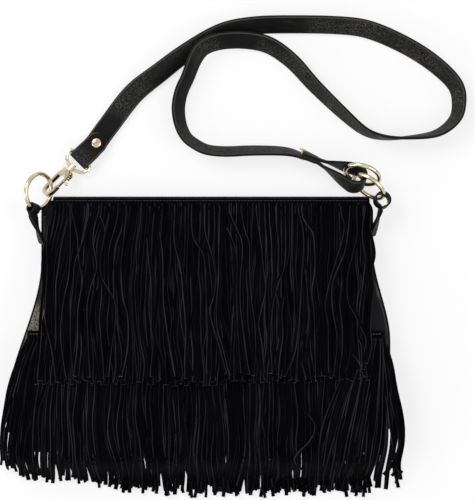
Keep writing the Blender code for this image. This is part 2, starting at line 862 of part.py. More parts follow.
def rivets_and_holes(strap_object, metal):
    back = Vector((-clip_axis().x, -clip_axis().y, 0.0)).normalized()
    lower = CLIP_BAR.z - CLIP_WIRE_R - FOLD_GAP - STRAP_T
    low = CLIP_BAR + back * RIVET_FROM_BAR
    low.z = lower - GAP
    high = low + UP * (2.0 * STRAP_T + TAB_LAYER_GAP + 2.0 * GAP)
    rivet("strap_rivet_left", low, high, RIVET_HEAD_R, metal)
    route = route_stations()
    middle, lean, half = route[-4]
    heading = (route[-3][0] - route[-5][0]).normalized()
    through = lean.cross(heading).normalized()
    inner = middle - through * (STRAP_T / 2 + GAP + RIVET_EASE)
    outer = inner + through * (2.0 * STRAP_T + TAB_LAYER_GAP + 2.0 * GAP + 2.0 * RIVET_EASE)
    rivet("strap_rivet_right", inner, outer, RIVET_HEAD_R, metal)
    for number, (start, end) in enumerate(((low, high), (inner, outer))):
        reach = (end - start).normalized() * 0.001
        cutter = cylinder(f"rivet_hole_{number}", start - reach, end + reach, RIVET_STEM_R + GAP,
                          collection=CUTTERS)
        boolean(strap_object, cutter, "DIFFERENCE")


# Clip

def clip_frame():
    """Along the clip, towards the knob's side, and square to both."""
    along = clip_axis()
    flat_side = Vector((-along.y, along.x, 0.0)).normalized()
    upright = along.cross(flat_side)
    side = flat_side * math.cos(HOOK_ROLL) + upright * math.sin(HOOK_ROLL)
    return along, side, along.cross(side), flat_side


def clip_matrix():
    along, side, normal, flat_side = clip_frame()
    turn = Matrix((along, side, normal)).transposed().to_4x4()
    return Matrix.Translation(CLIP_BAR) @ turn


def in_clip(x, side, normal=0.0):
    return clip_matrix() @ Vector((x, side, normal))


def clip_plate(name, outline, thickness, material, collection=COLLECTION):
    mesh = plate(name, outline, thickness)
    mesh.transform(clip_matrix())
    return add_object(name, mesh, material, collection)


def clip_eye(metal):
    along, side, normal, flat_side = clip_frame()
    corner = 0.0035
    flat = [(0.0, y) for y in (-0.006, 0.0, 0.006)]
    flat += arc((corner, EYE_HALF - corner), corner, 180, 90, 4)
    for step in range(1, 8):
        turn = math.radians(180.0 * step / 8)
        flat.append((corner + (EYE_DEPTH - corner) * math.sin(turn), (EYE_HALF) * math.cos(turn)))
    flat += arc((corner, corner - EYE_HALF), corner, 270, 180, 4)
    points = [CLIP_BAR + along * x + flat_side * y for x, y in flat]
    eye = add_object("clip_eye", wire("clip_eye", points, CLIP_WIRE_R, cyclic=True), metal)
    collar = cylinder("eye_collar", in_clip(COLLAR_START - 0.001, 0.0), in_clip(COLLAR_END, 0.0), COLLAR_R,
                      collection=CUTTERS)
    bore = cylinder("eye_bore", in_clip(COLLAR_START - 0.003, 0.0), in_clip(COLLAR_END + 0.002, 0.0),
                    STEM_R + GAP, collection=CUTTERS)
    boolean(eye, collar, "UNION")
    boolean(eye, bore, "DIFFERENCE")
    shade(eye)


def hook_outline(jaw_centre):
    outer = JAW_R + HOOK_RIM
    points = [(HOOK_START + 0.0015, -0.0040), (HOOK_BODY_END, -outer)]
    points += arc((jaw_centre, 0.0), outer, -90, 90, 12)
    points += [(GATE_END + GAP, outer), (GATE_END + GAP, JAW_R)]
    points += arc((jaw_centre, 0.0), JAW_R, 90, -90, 10)
    nose = HOOK_BODY_END - 0.001
    points += [(HOOK_BODY_END + 0.002, -JAW_R), (nose, -JAW_R + 0.003), (nose, 0.0015)]
    points += [(HOOK_START + 0.0015, 0.0015)]
    return points


def clip_hook(metal):
    jaw_centre = (left_ring().at(LEFT_HOOK_ANGLE) - CLIP_BAR).length + JAW_PAST_RING
    hook = clip_plate("clip_hook", hook_outline(jaw_centre), HOOK_T, metal)
    outer = JAW_R + HOOK_RIM
    cheek = [(HOOK_START, -0.0045), (HOOK_BODY_END, -0.0055), (HOOK_BODY_END, outer),
             (HOOK_START + 0.0025, outer), (HOOK_START, 0.0045)]
    body = clip_plate("hook_body", cheek, HOOK_BODY_T, None, CUTTERS)
    stem = cylinder("hook_stem", in_clip(COLLAR_START - 0.0030, 0.0), in_clip(HOOK_START + 0.003, 0.0), STEM_R,
                    collection=CUTTERS)
    head_end = COLLAR_START - 0.0010 - GAP
    head = cylinder("hook_stem_head", in_clip(head_end - STEM_HEAD_T, 0.0), in_clip(head_end, 0.0), STEM_HEAD_R,
                    collection=CUTTERS)
    slot_outline = [(PIVOT_ALONG - 0.0026, 0.0022), (HOOK_BODY_END + 0.001, 0.0022),
                    (HOOK_BODY_END + 0.001, outer + 0.001), (PIVOT_ALONG - 0.0026, outer + 0.001)]
    slot = clip_plate("hook_slot", slot_outline, TRIGGER_T + 2.0 * GAP, None, CUTTERS)
    hole = cylinder("hook_pin_hole", in_clip(PIVOT_ALONG, PIVOT_SIDE, -0.005),
                    in_clip(PIVOT_ALONG, PIVOT_SIDE, 0.005), PIN_R + GAP, collection=CUTTERS)
    for other, operation in ((body, "UNION"), (stem, "UNION"), (head, "UNION"), (slot, "DIFFERENCE"),
                             (hole, "DIFFERENCE")):
        boolean(hook, other, operation)
    shade(hook)


def clip_trigger(metal):
    outline = arc((PIVOT_ALONG, PIVOT_SIDE), TRIGGER_HUB_R, 35, 325, 10)
    outline += [(GATE_END, PIVOT_SIDE - GATE_HALF), (GATE_END, PIVOT_SIDE + GATE_HALF)]
    trigger = clip_plate("clip_trigger", outline, TRIGGER_T, metal)
    post_along = HOOK_BODY_END + 0.003
    top = PIVOT_SIDE + KNOB_REACH
    post = cylinder("trigger_post", in_clip(post_along, PIVOT_SIDE), in_clip(post_along, top), POST_R,
                    collection=CUTTERS)
    bm = bmesh.new()
    bmesh.ops.create_uvsphere(bm, u_segments=12, v_segments=8, radius=KNOB_R)
    bmesh.ops.translate(bm, vec=in_clip(post_along, top), verts=bm.verts)
    knob = add_object("trigger_knob", mesh_from(bm, "trigger_knob"), None, CUTTERS)
    hole = cylinder("trigger_pin_hole", in_clip(PIVOT_ALONG, PIVOT_SIDE, -0.004),
                    in_clip(PIVOT_ALONG, PIVOT_SIDE, 0.004), PIN_R + GAP, collection=CUTTERS)
    boolean(trigger, post, "UNION")
    boolean(trigger, knob, "UNION")
    boolean(trigger, hole, "DIFFERENCE")
    shade(trigger)
    half = HOOK_BODY_T / 2
    cylinder("clip_trigger_pin", in_clip(PIVOT_ALONG, PIVOT_SIDE, -half), in_clip(PIVOT_ALONG, PIVOT_SIDE, half),
             PIN_R, metal)


# Snap under the flap

def snap(metal):
    step = 0.001
    z = front_z(SNAP_X, SNAP_Y)
    slope = (front_z(SNAP_X, SNAP_Y + step) - z) / step
    normal = Vector((0.0, -slope, 1.0)).normalized()
    seat = Vector((SNAP_X, SNAP_Y, z)) + normal * (PANEL_T / 2 + GAP)
    cylinder("snap_socket", seat, seat + normal * SNAP_T, SNAP_R, metal)
    stud = seat + normal * (SNAP_T + GAP)
    cylinder("snap_stud", stud, stud + normal * SNAP_T, SNAP_R, metal)


def left_ring():
    return Ring(LEFT_RING_CENTRE, LEFT_RING_HEADING, LEFT_RING_TILT, -1)


def right_ring():
    return Ring(RIGHT_RING_CENTRE, RIGHT_RING_HEADING, RIGHT_RING_TILT, -1)


def strap_ring():
    return Ring(STRAP_RING_CENTRE, STRAP_RING_HEADING, STRAP_RING_TILT, -1)


def main():
    clear_scene()
    new_collection(COLLECTION)
    new_collection(CUTTERS)
    leather = new_material("black_leather", (0.030, 0.028, 0.027), 0.45)
    suede = new_material("black_suede", (0.012, 0.012, 0.013), 0.95)
    strap_leather = new_material("strap_leather", (0.045, 0.042, 0.042), 0.60)
    gold = new_material("pale_gold", (0.80, 0.68, 0.45), 0.22, 1.0)

    panel("back_panel", TOP_Y, 0.0, 4, lambda x, y: PANEL_T / 2, leather)
    panel("front_panel", TOP_Y - FRONT_TOP_DROP, FRONT_INSET, 14, front_z, leather)
    side_gusset("side_gusset_left", -1, leather)
    side_gusset("side_gusset_right", 1, leather)
    bottom_gusset(leather)
    flap(leather)
    upper_fringe(suede)
    lower_fringe(suede)
    snap(gold)

    left_ring().build("left_ring", gold)
    right_ring().build("right_ring", gold)
    strap_ring().build("strap_ring", gold)
    tab("left_tab", -1, LEFT_TAB_ROOT_Y, left_ring(), LEFT_TAB_ANGLE, LEFT_TAB_BORE, leather)
    tab("right_tab", 1, RIGHT_TAB_ROOT_Y, right_ring(), 0.0, RIGHT_TAB_BORE, leather)

    strap_object = strap(strap_leather)
    rivets_and_holes(strap_object, gold)
    clip_eye(gold)
    clip_hook(gold)
    clip_trigger(gold)


main()
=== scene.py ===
"""Looks of the fringed suede bag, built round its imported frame.

Metres, +Z up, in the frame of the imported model: the bag lies on its back at Z = 0 with its
mouth towards +Y. The heights of the body, flap and strap follow the same named values as
the solids do, so each soft piece lies where its solid is.
"""

from math import asin, cos, degrees, hypot, pi, radians, sin, sqrt
import random

import bmesh
import bpy
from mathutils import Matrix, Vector, noise

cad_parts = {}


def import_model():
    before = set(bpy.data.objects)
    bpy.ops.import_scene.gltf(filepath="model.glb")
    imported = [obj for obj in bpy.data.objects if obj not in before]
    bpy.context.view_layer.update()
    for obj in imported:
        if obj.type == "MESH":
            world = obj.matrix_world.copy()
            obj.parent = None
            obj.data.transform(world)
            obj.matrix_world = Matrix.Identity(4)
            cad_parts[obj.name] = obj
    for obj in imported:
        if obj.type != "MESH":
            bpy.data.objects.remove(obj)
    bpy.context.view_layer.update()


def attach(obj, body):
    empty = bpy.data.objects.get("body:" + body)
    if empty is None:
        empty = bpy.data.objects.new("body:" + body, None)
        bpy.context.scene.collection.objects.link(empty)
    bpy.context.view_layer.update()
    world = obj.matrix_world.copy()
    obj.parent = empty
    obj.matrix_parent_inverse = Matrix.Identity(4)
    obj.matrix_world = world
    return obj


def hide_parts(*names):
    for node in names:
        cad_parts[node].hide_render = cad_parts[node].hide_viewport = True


UP = Vector((0.0, 0.0, 1.0))

# Photograph: its scale, and where its pixels fall in the model
PIXEL = 0.00092
PIXEL_X0 = 205.0
PIXEL_Y0 = 326.0
PHOTO_WIDTH = 475.0
PHOTO_HEIGHT = 500.0
CAMERA_HEIGHT = 1.8
FOCUS_HEIGHT = 0.02
SENSOR = 24.0

# Leather, suede and the gaps between them
PANEL_T = 0.0016
FLAP_T = 0.0018
FRINGE_T = 0.0011
BAND_T = 0.0012
STRAP_T = 0.003
TAB_T = 0.0015
GAP = 0.0003
FLOOR = 0.0003

# Body outline
TOP_Y = 0.116
BOTTOM_Y = -0.118
TOP_HALF = {-1: 0.1525, 1: 0.156}
FLARE = {-1: 0.0325, 1: 0.016}
FLARE_TOP = {-1: 0.06, 1: 0.07}
FLARE_BOTTOM = {-1: -0.08, 1: -0.015}
BOTTOM_CORNER = 0.03
TOP_CORNER = 0.01
FRONT_INSET = 0.005
FRONT_TOP_DROP = 0.004
SEAM = 0.0025
SEAM_ALLOWANCE = 0.001

# Body depth
MOUTH_HEIGHT = 0.011
BODY_HEIGHT = 0.046
RIM_AT_MOUTH = 0.01
RIM_AT_BOTTOM = 0.032
FULLEST = 0.62
CROWN_POWER = 3.0

# Flap
FLAP_HEM = 0.008
FOLD_Y = 0.11
FOLD_R = 0.0085
FLAP_END_Y = 0.015
FLAP_SNAP_SPACE = 0.0032
FLAP_SIDE_DROP = 0.006
FLAP_SHOULDER = 0.001
FLAP_LEFT_AT_FOLD = 0.14
FLAP_LEFT = 0.15
FLAP_RIGHT = 0.1515

# Creases: dents in the panels, puckers in the gussets
BROAD_DENT = 0.0012
FINE_DENT = 0.0005
SIDE_PUCKER = 0.0009
BOTTOM_PUCKER = 0.001
BOTTOM_CORNER_SHARE = 0.35

# Fringe
LOOSE_LAY = 0.0023
BAND_START = 44.0
BAND_END = 92.0
UPPER_LAYERS = (98, 84)
UPPER_TIP_Y = -0.05
SETTLE = 0.0026
LOWER_LAYERS = (116, 100, 92)
LOWER_BAND_TOP = -0.004
LOWER_CUT_Y = -0.014
LOWER_HALF_TOP = {-1: 0.163, 1: 0.164}
LEFT_SPREAD = -0.0235
RIGHT_SPREAD = 0.004
LOWER_TIPS = ((-0.187, -0.125), (-0.178, -0.135), (-0.12, -0.142), (-0.075, -0.149), (0.0, -0.154),
              (0.106, -0.152))
LOWER_TIP_STEPS = (-0.0035, 0.0, 0.0015)
LOWER_TIP_SPREAD = 0.004
SWEPT_STRANDS = 17
SWEPT_ROOT_WIDTH = 0.014
SWEPT_ROOTS = (0.148, 0.1635)
SWEPT_BENDS = (0.094, 0.176)
SWEPT_BEND_Y = -0.08
SWEPT_TIPS = (0.103, 0.166)
SWEPT_TIP_Y = -0.147
CROSSING_LIFT = 0.0037
CROSSING_ROOT_Y = 0.095
OUTER_LIFT = 0.0016
LONE_LIFT = 0.0052
FRINGE_FALL_START = 0.004
FRINGE_FALL = 0.03

# Strands: widths, how neighbours shift and drift, how layers lie, how far tips are kinked
UPPER_UNDER_W = 0.0034
UPPER_W = (0.0024, 0.0032)
LOWER_UNDER_W = 0.0035
LOWER_W = (0.0025, 0.0034)
CROSSING_W = 0.003
SWEPT_W = (0.0027, 0.0036)
OUTER_W = 0.0031
LONE_W = 0.0029
LAYER_SHIFT = 0.35
LAYER_STAND = 0.0004
LAYER_LIE = 0.001
TIER_DRIFT = 0.0055
TIER_FINE_DRIFT = 0.002
OWN_DRIFT = 0.0042
LOWER_DRIFT = 0.0052
TIP_KINK = 0.0022
LOWER_TIP_KINK = 0.0042
TIP_RISE = 0.0026
UPPER_SAMPLES = 34
LOWER_SAMPLES = 30
PATH_STEPS = 5

# Single strands as X, Y, X, Y and so on in pixels: across the upper tier, outermost, and alone
CROSSING_STRANDS = (
    (49, 226, 48, 247, 49, 271, 48, 299, 48, 320, 55, 348, 60, 380),
    (69, 212, 70, 243, 69, 275, 65, 296, 62, 320, 62, 341, 67, 378),
    (73, 212, 79, 236, 81, 259, 85, 278, 83, 296, 81, 313, 81, 341, 79, 374),
    (90, 215, 84, 243, 77, 264, 76, 285, 74, 306, 74, 341, 78, 378),
    (98, 210, 94, 226, 93, 244, 97, 267, 91, 288, 88, 306, 89, 334, 90, 375),
    (98, 214, 104, 229, 103, 242, 100, 261, 102, 277, 110, 291, 116, 303, 116, 323, 112, 351, 110, 374),
    (125, 212, 123, 243, 121, 264, 123, 295, 128, 313, 129, 334, 127, 355, 121, 374),
    (148, 232, 151, 261, 154, 286, 154, 324, 156, 343, 151, 374),
    (158, 228, 162, 254, 163, 279, 164, 305, 168, 334, 173, 374),
    (176, 218, 176, 241, 182, 266, 185, 292, 188, 328, 187, 356, 188, 376),
    (193, 220, 195, 238, 204, 252, 207, 269, 208, 298, 209, 330, 207, 372),
    (203, 220, 205, 236, 211, 256, 215, 277, 213, 296, 209, 309, 213, 328, 219, 347, 225, 371),
    (221, 212, 220, 254, 220, 279, 218, 305, 219, 328, 225, 349, 229, 372),
    (225, 227, 233, 245, 236, 264, 235, 292, 236, 320, 239, 371),
    (228, 212, 233, 224, 240, 240, 241, 256, 239, 279, 239, 305, 243, 340, 246, 372),
    (240, 212, 244, 232, 248, 245, 248, 269, 250, 298, 253, 321, 254, 349, 252, 373),
    (255, 212, 259, 240, 262, 269, 264, 289, 260, 307, 257, 323, 260, 343, 262, 370),
    (284, 215, 284, 247, 282, 269, 276, 284, 271, 305, 269, 328, 269, 349, 272, 371),
    (283, 292, 280, 311, 281, 333, 278, 354, 275, 372),
    (297, 211, 302, 235, 300, 273, 297, 318, 293, 349, 284, 374),
    (303, 210, 305, 220, 313, 232, 315, 246, 315, 271, 312, 291, 314, 314, 315, 374),
    (342, 212, 345, 225, 343, 240, 335, 265, 328, 288, 325, 307, 328, 324, 328, 361, 329, 376),
    (351, 211, 349, 231, 345, 253, 337, 271, 332, 288, 333, 312, 337, 338, 334, 374),
    (358, 211, 358, 234, 353, 256, 348, 277, 348, 300, 355, 314, 361, 327, 366, 338, 364, 351, 361, 368),
    (366, 212, 363, 234, 366, 256, 365, 270, 362, 291, 359, 311, 357, 334, 361, 345, 362, 370),
    (370, 230, 374, 253, 371, 270, 372, 288, 369, 308, 368, 327, 369, 345, 365, 362),
)
OUTER_STRANDS = (
    (384, 346, 388, 362, 393, 386, 399, 404, 402.5, 424, 403, 446, 400, 470, 398, 486),
    (385, 344, 391, 364, 395, 388, 400, 410, 403, 430, 402, 452, 401, 468, 402.5, 482),
    (383, 348, 387, 366, 391, 390, 396, 408, 400, 428, 400.5, 450, 397, 472, 400, 490),
    (382, 350, 385, 372, 389, 398, 392, 416, 395, 436, 394, 452, 396, 474, 399, 482),
    (384, 352, 387, 376, 391, 402, 396, 424, 399, 444, 396, 460, 391, 470, 385, 477),
    (386, 352, 392, 378, 397, 404, 401.5, 426, 401, 446, 399, 462, 396, 474, 393, 478),
    (381, 352, 383, 380, 387, 404, 389, 424, 392, 442, 395, 458, 399, 470, 404, 475),
)
LONE_STRANDS = (
    (300, 404, 308, 411, 314, 421, 314, 431, 308, 441, 299, 450, 295, 458, 301, 469),
    (349, 352, 352, 356, 356, 361, 358, 366),
)

# Rings, tabs and strap
RING_R = 0.016
WIRE_R = 0.002
LEFT_RING_CENTRE = Vector((-0.153, 0.124, 0.0195))
LEFT_RING_HEADING = radians(80.0)
LEFT_RING_TILT = radians(50.0)
LEFT_TAB_ANGLE = radians(190.0)
LEFT_HOOK_ANGLE = radians(70.0)
LEFT_TAB_ROOT_Y = 0.076
LEFT_TAB_BORE = 0.0036
RIGHT_RING_CENTRE = Vector((0.1508, 0.1285, 0.0172))
RIGHT_RING_HEADING = radians(-37.0)
RIGHT_RING_TILT = radians(67.0)
RIGHT_TAB_ROOT_Y = 0.083
RIGHT_TAB_BORE = 0.0062
STRAP_RING_CENTRE = Vector((0.1449, 0.1394, 0.0165))
STRAP_RING_HEADING = radians(-17.6)
STRAP_RING_TILT = radians(62.0)
TAB_WIDTH = 0.009
TAB_LAYER_GAP = 0.0004
TAB_BELOW_SEAM = 0.0015
TAB_STAND = 0.0004

STRAP_W = 0.02
STRAP_TIP_R = 0.0098
FOLD_GAP = 0.0005
STRAP_STAND = 0.0008
STRAP_LOOP_CENTRE = Vector((0.1378, 0.1362, 0.0163))
STRAP_LOOP_LEAN = Vector((-0.15, 0.55, 0.82))
STRAP_LOOP_BORE = 0.008
LEFT_TONGUE = 0.03
LEFT_TONGUE_ROWS = (0.03, 0.029, 0.027, 0.024, 0.02, 0.015, 0.011, 0.007, 0.003)
LEFT_TONGUE_RISE = 0.015
LEFT_UNDER_ROWS = (0.004, 0.008, 0.012)
RIGHT_TONGUE = 0.022
CLIP_BAR = Vector((-0.115, 0.155, 0.0068))
CLIP_WIRE_R = 0.0017
EDGE_R = 0.0012
RIVET_DOME = 0.001
RIVET_SHANK_R = 0.0016
RIVET_SHANK_SINK = 0.0008

# Where the strap's face is painted smooth and dark as shade: pixel X and Y, reach in pixels
SHADED_STRAP_PATCHES = ((105, 135, 34), (240, 26, 34), (285, 24, 34), (186, 90, 50))

# The strap's middle line from the clip to the right ring: X, Y, roll in degrees, lift
STRAP_ROUTE = (
    (-0.101, 0.17, 0, 0.0005), (-0.089, 0.1865, 0, 0.0005), (-0.0672, 0.2144, 12, 0.0),
    (-0.0432, 0.2337, 28, 0.0), (-0.0147, 0.2548, 40, 0.0), (0.0147, 0.2714, 43, 0.0),
    (0.0432, 0.2775, 43, 0.0), (0.0782, 0.2788, 43, 0.0), (0.1251, 0.2778, 43, 0.0),
    (0.1536, 0.2732, 43, 0.0), (0.1868, 0.2585, 45, 0.0), (0.2134, 0.241, 48, 0.0),
    (0.2318, 0.2217, 54, 0.0), (0.2346, 0.2024, 60, 0.0), (0.2291, 0.1886, 66, 0.0),
    (0.2134, 0.1776, 74, 0.0), (0.1886, 0.1739, 84, 0.0), (0.1665, 0.1739, 94, 0.0),
    (0.1481, 0.1794, 104, 0.0), (0.1288, 0.195, 114, 0.0), (0.1012, 0.2217, 122, 0.0),
    (0.081, 0.2438, 128, 0.0), (0.0598, 0.259, 133, 0.0), (0.0377, 0.264, 135, 0.001),
    (0.0147, 0.263, 134, 0.003), (-0.001, 0.257, 130, 0.005), (-0.0095, 0.246, 125, 0.002),
    (-0.016, 0.23, 122, 0.0), (-0.0221, 0.2162, 122, 0.0), (-0.0248, 0.2015, 122, 0.0),
    (-0.023, 0.1868, 120, 0.0), (-0.0175, 0.1748, 118, 0.0), (-0.0083, 0.1674, 118, 0.0),
    (0.0028, 0.1625, 117, 0.0), (0.0202, 0.161, 117, 0.0), (0.0432, 0.1619, 116, 0.0),
    (0.0727, 0.1612, 112, 0.0), (0.089, 0.157, 103, 0.0005), (0.104, 0.1505, 96, 0.001),
)

# Stitches
STITCH_PITCH = 0.003
STITCH_STAND = 0.0001
STITCH_INSET = 0.002
UPPER_STITCH_ANGLE = 62.0
UPPER_STITCHES = 96
LOWER_STITCHES = 108
LOWER_STITCH_DROP = 0.003

# Painted highlight on the leather beside the fringe: how much, then each edge as axis, start and run to full
PAINTED_HIGHLIGHT_PATCHES = (
    (1.2, (0, -0.138, -0.012), (1, 0.027, -0.02), (1, -0.02, 0.02)),
    (0.5, (0, -0.146, -0.004), (1, 0.054, -0.01), (1, 0.034, 0.01)),
    (0.7, (0, 0.157, 0.003), (1, 0.038, -0.006), (1, 0.024, 0.006)),
)

# Light and floor
FLOOR_HALF = 3.0
FLOOR_GLOW = 0.72
WORLD_LIGHT = 0.55
LIGHT_TARGET = Vector((0.03, 0.07, 0.0))
LIGHTS = (
    ("key", (-0.9, 0.9, 1.3), (0.9, 0.9), 16.0),
    ("fill", (1.1, -0.2, 1.1), (0.8, 1.2), 8.0),
    ("low_left", (-1.3, -0.4, 0.5), (0.4, 1.0), 6.0),
)


def clamp(value):
    return max(0.0, min(1.0, value))


def ease(value):
    value = clamp(value)
    return value * value * (3.0 - 2.0 * value)


def mix(a, b, t):
    return a + (b - a) * t


def smooth_max(a, b, softness):
    return 0.5 * (a + b + sqrt((a - b) ** 2 + softness ** 2))


def wander(x, y, z, seed):
    """Smooth noise from -1 to 1 that differs from seed to seed."""
    return noise.noise(Vector((x, y, z + 17.3 * seed)))


def around(first, second, angle):
    return first * cos(angle) + second * sin(angle)


def headings(points):
    """The direction of a line at each of its points."""
    last = len(points) - 1
    return [(points[min(last, i + 1)] - points[max(0, i - 1)]).normalized() for i in range(last + 1)]


def from_pixel(px, py):
    return (px - PIXEL_X0) * PIXEL, (PIXEL_Y0 - py) * PIXEL


def along_line(points, value):
    """The second number of points at a value of the first."""
    if value <= points[0][0]:
        return points[0][1]
    for (x0, y0), (x1, y1) in zip(points, points[1:]):
        if value <= x1:
            return mix(y0, y1, (value - x0) / (x1 - x0))
    return points[-1][1]


def catmull(points, steps):
    """Values along a smooth curve through points."""
    values = []
    last = len(points) - 1
    for index in range(last):
        before = points[max(0, index - 1)]
        start = points[index]
        end = points[index + 1]
        after = points[min(last, index + 2)]
        for step in range(steps):
            t = step / steps
            row = []
            for p0, p1, p2, p3 in zip(before, start, end, after):
                row.append(0.5 * (2 * p1 + (p2 - p0) * t + (2 * p0 - 5 * p1 + 4 * p2 - p3) * t * t
                                  + (3 * p1 - p0 - 3 * p2 + p3) * t ** 3))
            values.append(row)
    values.append(list(points[last]))
    return values


# Materials

class Nodes:
    """A Principled material and short calls that add nodes to it."""

    def __init__(self, name):
        self.material = bpy.data.materials.new(name)
        self.material.use_nodes = True
        self.tree = self.material.node_tree
        self.shader = self.tree.nodes["Principled BSDF"]
        self.place = self.tree.nodes.new("ShaderNodeTexCoord").outputs["Object"]

    def feed(self, node, inputs):
        """Links or sets inputs, given by name or number."""
        for key, value in inputs.items():
            socket = node.inputs[key]
            if isinstance(value, bpy.types.NodeSocket):
                self.tree.links.new(value, socket)
            elif socket.type == "RGBA":
                socket.default_value = (*value, 1.0)
            else:
                socket.default_value = value

    def add(self, kind, inputs):
        node = self.tree.nodes.new("ShaderNode" + kind)
        self.feed(node, inputs)
        return node

    def set(self, **inputs):
        self.feed(self.shader, {name.replace("_", " "): value for name, value in inputs.items()})

    def noise(self, scale, detail=3.0, roughness=0.55, stretch=None):
        place = self.place
        if stretch:
            place = self.add("Mapping", {"Vector": place, "Scale": stretch}).outputs["Vector"]
        inputs = {"Vector": place, "Scale": scale, "Detail": detail, "Roughness": roughness}
        return self.add("TexNoise", inputs).outputs["Fac"]

    def cells(self, scale):
        node = self.add("TexVoronoi", {"Vector": self.place, "Scale": scale})
        node.feature = "DISTANCE_TO_EDGE"
        return node.outputs["Distance"]

    def ramp(self, value, *stops):
        """A ramp between two stops of (position, colour or grey)."""
        node = self.add("ValToRGB", {"Fac": value})
        for point, (position, colour) in zip(node.color_ramp.elements, stops):
            point.position = position
            point.color = (*(colour if isinstance(colour, tuple) else (colour,) * 3), 1.0)
        return node.outputs["Color"]

    def blend(self, share, a, b):
        node = self.add("Mix", {})
        node.data_type = "RGBA"
        self.feed(node, {0: share, 6: a, 7: b})
        return node.outputs[2]

    def math(self, operation, a, b):
        node = self.add("Math", {0: a, 1: b})
        node.operation = operation
        return node.outputs[0]

    def attribute(self, name):
        node = self.add("Attribute", {})
        node.attribute_name = name
        return node.outputs["Fac"]

    def bump(self, height, strength, distance):
        node = self.add("Bump", {"Height": height, "Strength": strength, "Distance": distance})
        normal = self.shader.inputs["Normal"]
        if normal.is_linked:
            self.feed(node, {"Normal": normal.links[0].from_socket})
        self.set(Normal=node.outputs["Normal"])


def suede_material(name, dark, light, edge):
    """Matt nap, lighter in random patches and along a strand's edges: a pale cut edge with a painted
    highlight, stronger in some stretches.
    """
    nodes = Nodes(name)
    patches = nodes.ramp(nodes.noise(70.0, 4.0, stretch=(1.0, 0.25, 1.0)), (0.35, dark), (0.7, light))
    nap = nodes.noise(2600.0, 2.0, 0.7)
    colour = nodes.blend(0.35, patches, nodes.ramp(nap, (0.3, dark), (0.72, light)))
    edge_and_highlight_patches = nodes.ramp(nodes.noise(55.0, 3.0, stretch=(3.0, 0.5, 1.0)), (0.36, 0.35), (0.62, 1.0))
    # Pale cut edges with a painted highlight on them, stronger in some stretches than in others
    rim = nodes.math("MULTIPLY", nodes.ramp(nodes.attribute("rim"), (0.3, 0.0), (0.98, 0.95)), edge_and_highlight_patches)
    nodes.set(Base_Color=nodes.blend(rim, colour, edge), Roughness=0.96)
    nodes.set(Sheen_Weight=0.01, Sheen_Roughness=0.5, Specular_IOR_Level=0.015)
    nodes.bump(nap, 0.35, 0.0004)
    return nodes.material


def leather_material(name, base, wear_and_highlight_colour, wear_start, roughness, grain=850.0):
    """Grained leather, rubbed lighter in random patches, lighter along its edges, and with a painted
    highlight of the same pale colour beside the fringe.
    """
    nodes = Nodes(name)
    pebble = nodes.cells(grain)
    crease = nodes.noise(46.0, 6.0, 0.62)
    wear = nodes.ramp(nodes.noise(24.0, 5.0, 0.65), (wear_start, 0.0), (wear_start + 0.22, 1.0))
    fine = nodes.ramp(nodes.noise(620.0, 4.0, 0.75), (0.4, 0.05), (0.62, 1.0))
    share = nodes.math("MULTIPLY", wear, fine)
    # Painted highlight: the same pale brown-grey as the worn spots, where a lamp's reflection falls beside
    # the fringe
    wear_and_highlight = nodes.math("MAXIMUM", share, nodes.math("MULTIPLY", nodes.attribute("painted_highlight"), fine))
    edge = nodes.ramp(nodes.attribute("rim"), (0.7, 0.0), (1.0, 0.45))
    colour = nodes.blend(nodes.math("MAXIMUM", wear_and_highlight, edge), base, wear_and_highlight_colour)
    dull = nodes.ramp(crease, (0.3, roughness - 0.1), (0.7, roughness + 0.12))
    nodes.set(Base_Color=colour, Roughness=dull, Specular_IOR_Level=0.06)
    nodes.bump(crease, 0.3, 0.0012)
    nodes.bump(nodes.ramp(pebble, (0.0, 0.0), (0.25, 1.0)), 0.4, 0.00025)
    return nodes.material


def strap_material():
    """Strap leather: smooth dark borders, a rough speckled face that is painted smooth and dark as shade in
    patches, and pale cut edges with a painted highlight.
    """
    nodes = Nodes("strap_leather_wear_shade_and_highlight")
    dark = (0.003, 0.003, 0.003)
    speckle = nodes.ramp(nodes.noise(800.0, 4.0, 0.75), (0.46, dark), (0.64, (0.095, 0.092, 0.088)))
    cloudy = nodes.ramp(nodes.noise(40.0, 4.0, 0.6), (0.3, 0.25), (0.68, 1.0))
    smooth = nodes.blend(cloudy, dark, (0.008, 0.008, 0.008))
    face = nodes.blend(nodes.math("MULTIPLY", cloudy, nodes.attribute("rough")), smooth, speckle)
    streak = nodes.ramp(nodes.noise(60.0, 5.0, 0.7, (0.5, 0.5, 3.0)), (0.56, 0.0), (0.74, 0.45))
    face = nodes.blend(streak, face, (0.042, 0.038, 0.033))
    # Pale cut edges, lighter still as a painted highlight along them
    line = nodes.ramp(nodes.attribute("rim"), (0.5, 0.0), (0.95, 0.75))
    dull = nodes.ramp(nodes.noise(90.0, 4.0), (0.3, 0.4), (0.7, 0.62))
    colour = nodes.blend(line, face, (0.075, 0.072, 0.066))
    nodes.set(Base_Color=colour, Roughness=dull, Specular_IOR_Level=0.06)
    nodes.bump(nodes.noise(1300.0, 4.0, 0.75), 0.45, 0.0003)
    return nodes.material


def metal_material():
    """Polished pale gold plating, with faint scratches and dulled patches."""
    nodes = Nodes("pale_gold_plating")
    patches = nodes.noise(160.0, 4.0, 0.6)
    colour = nodes.ramp(patches, (0.3, (0.42, 0.34, 0.21)), (0.7, (0.76, 0.67, 0.49)))
    scratch = nodes.noise(1700.0, 2.0, 0.6, (1.0, 0.15, 1.0))
    rough = nodes.math("ADD", nodes.math("MULTIPLY", scratch, 0.16), 0.1)
    nodes.set(Base_Color=colour, Roughness=rough, Metallic=1.0)
    nodes.bump(scratch, 0.08, 0.0001)
    return nodes.material


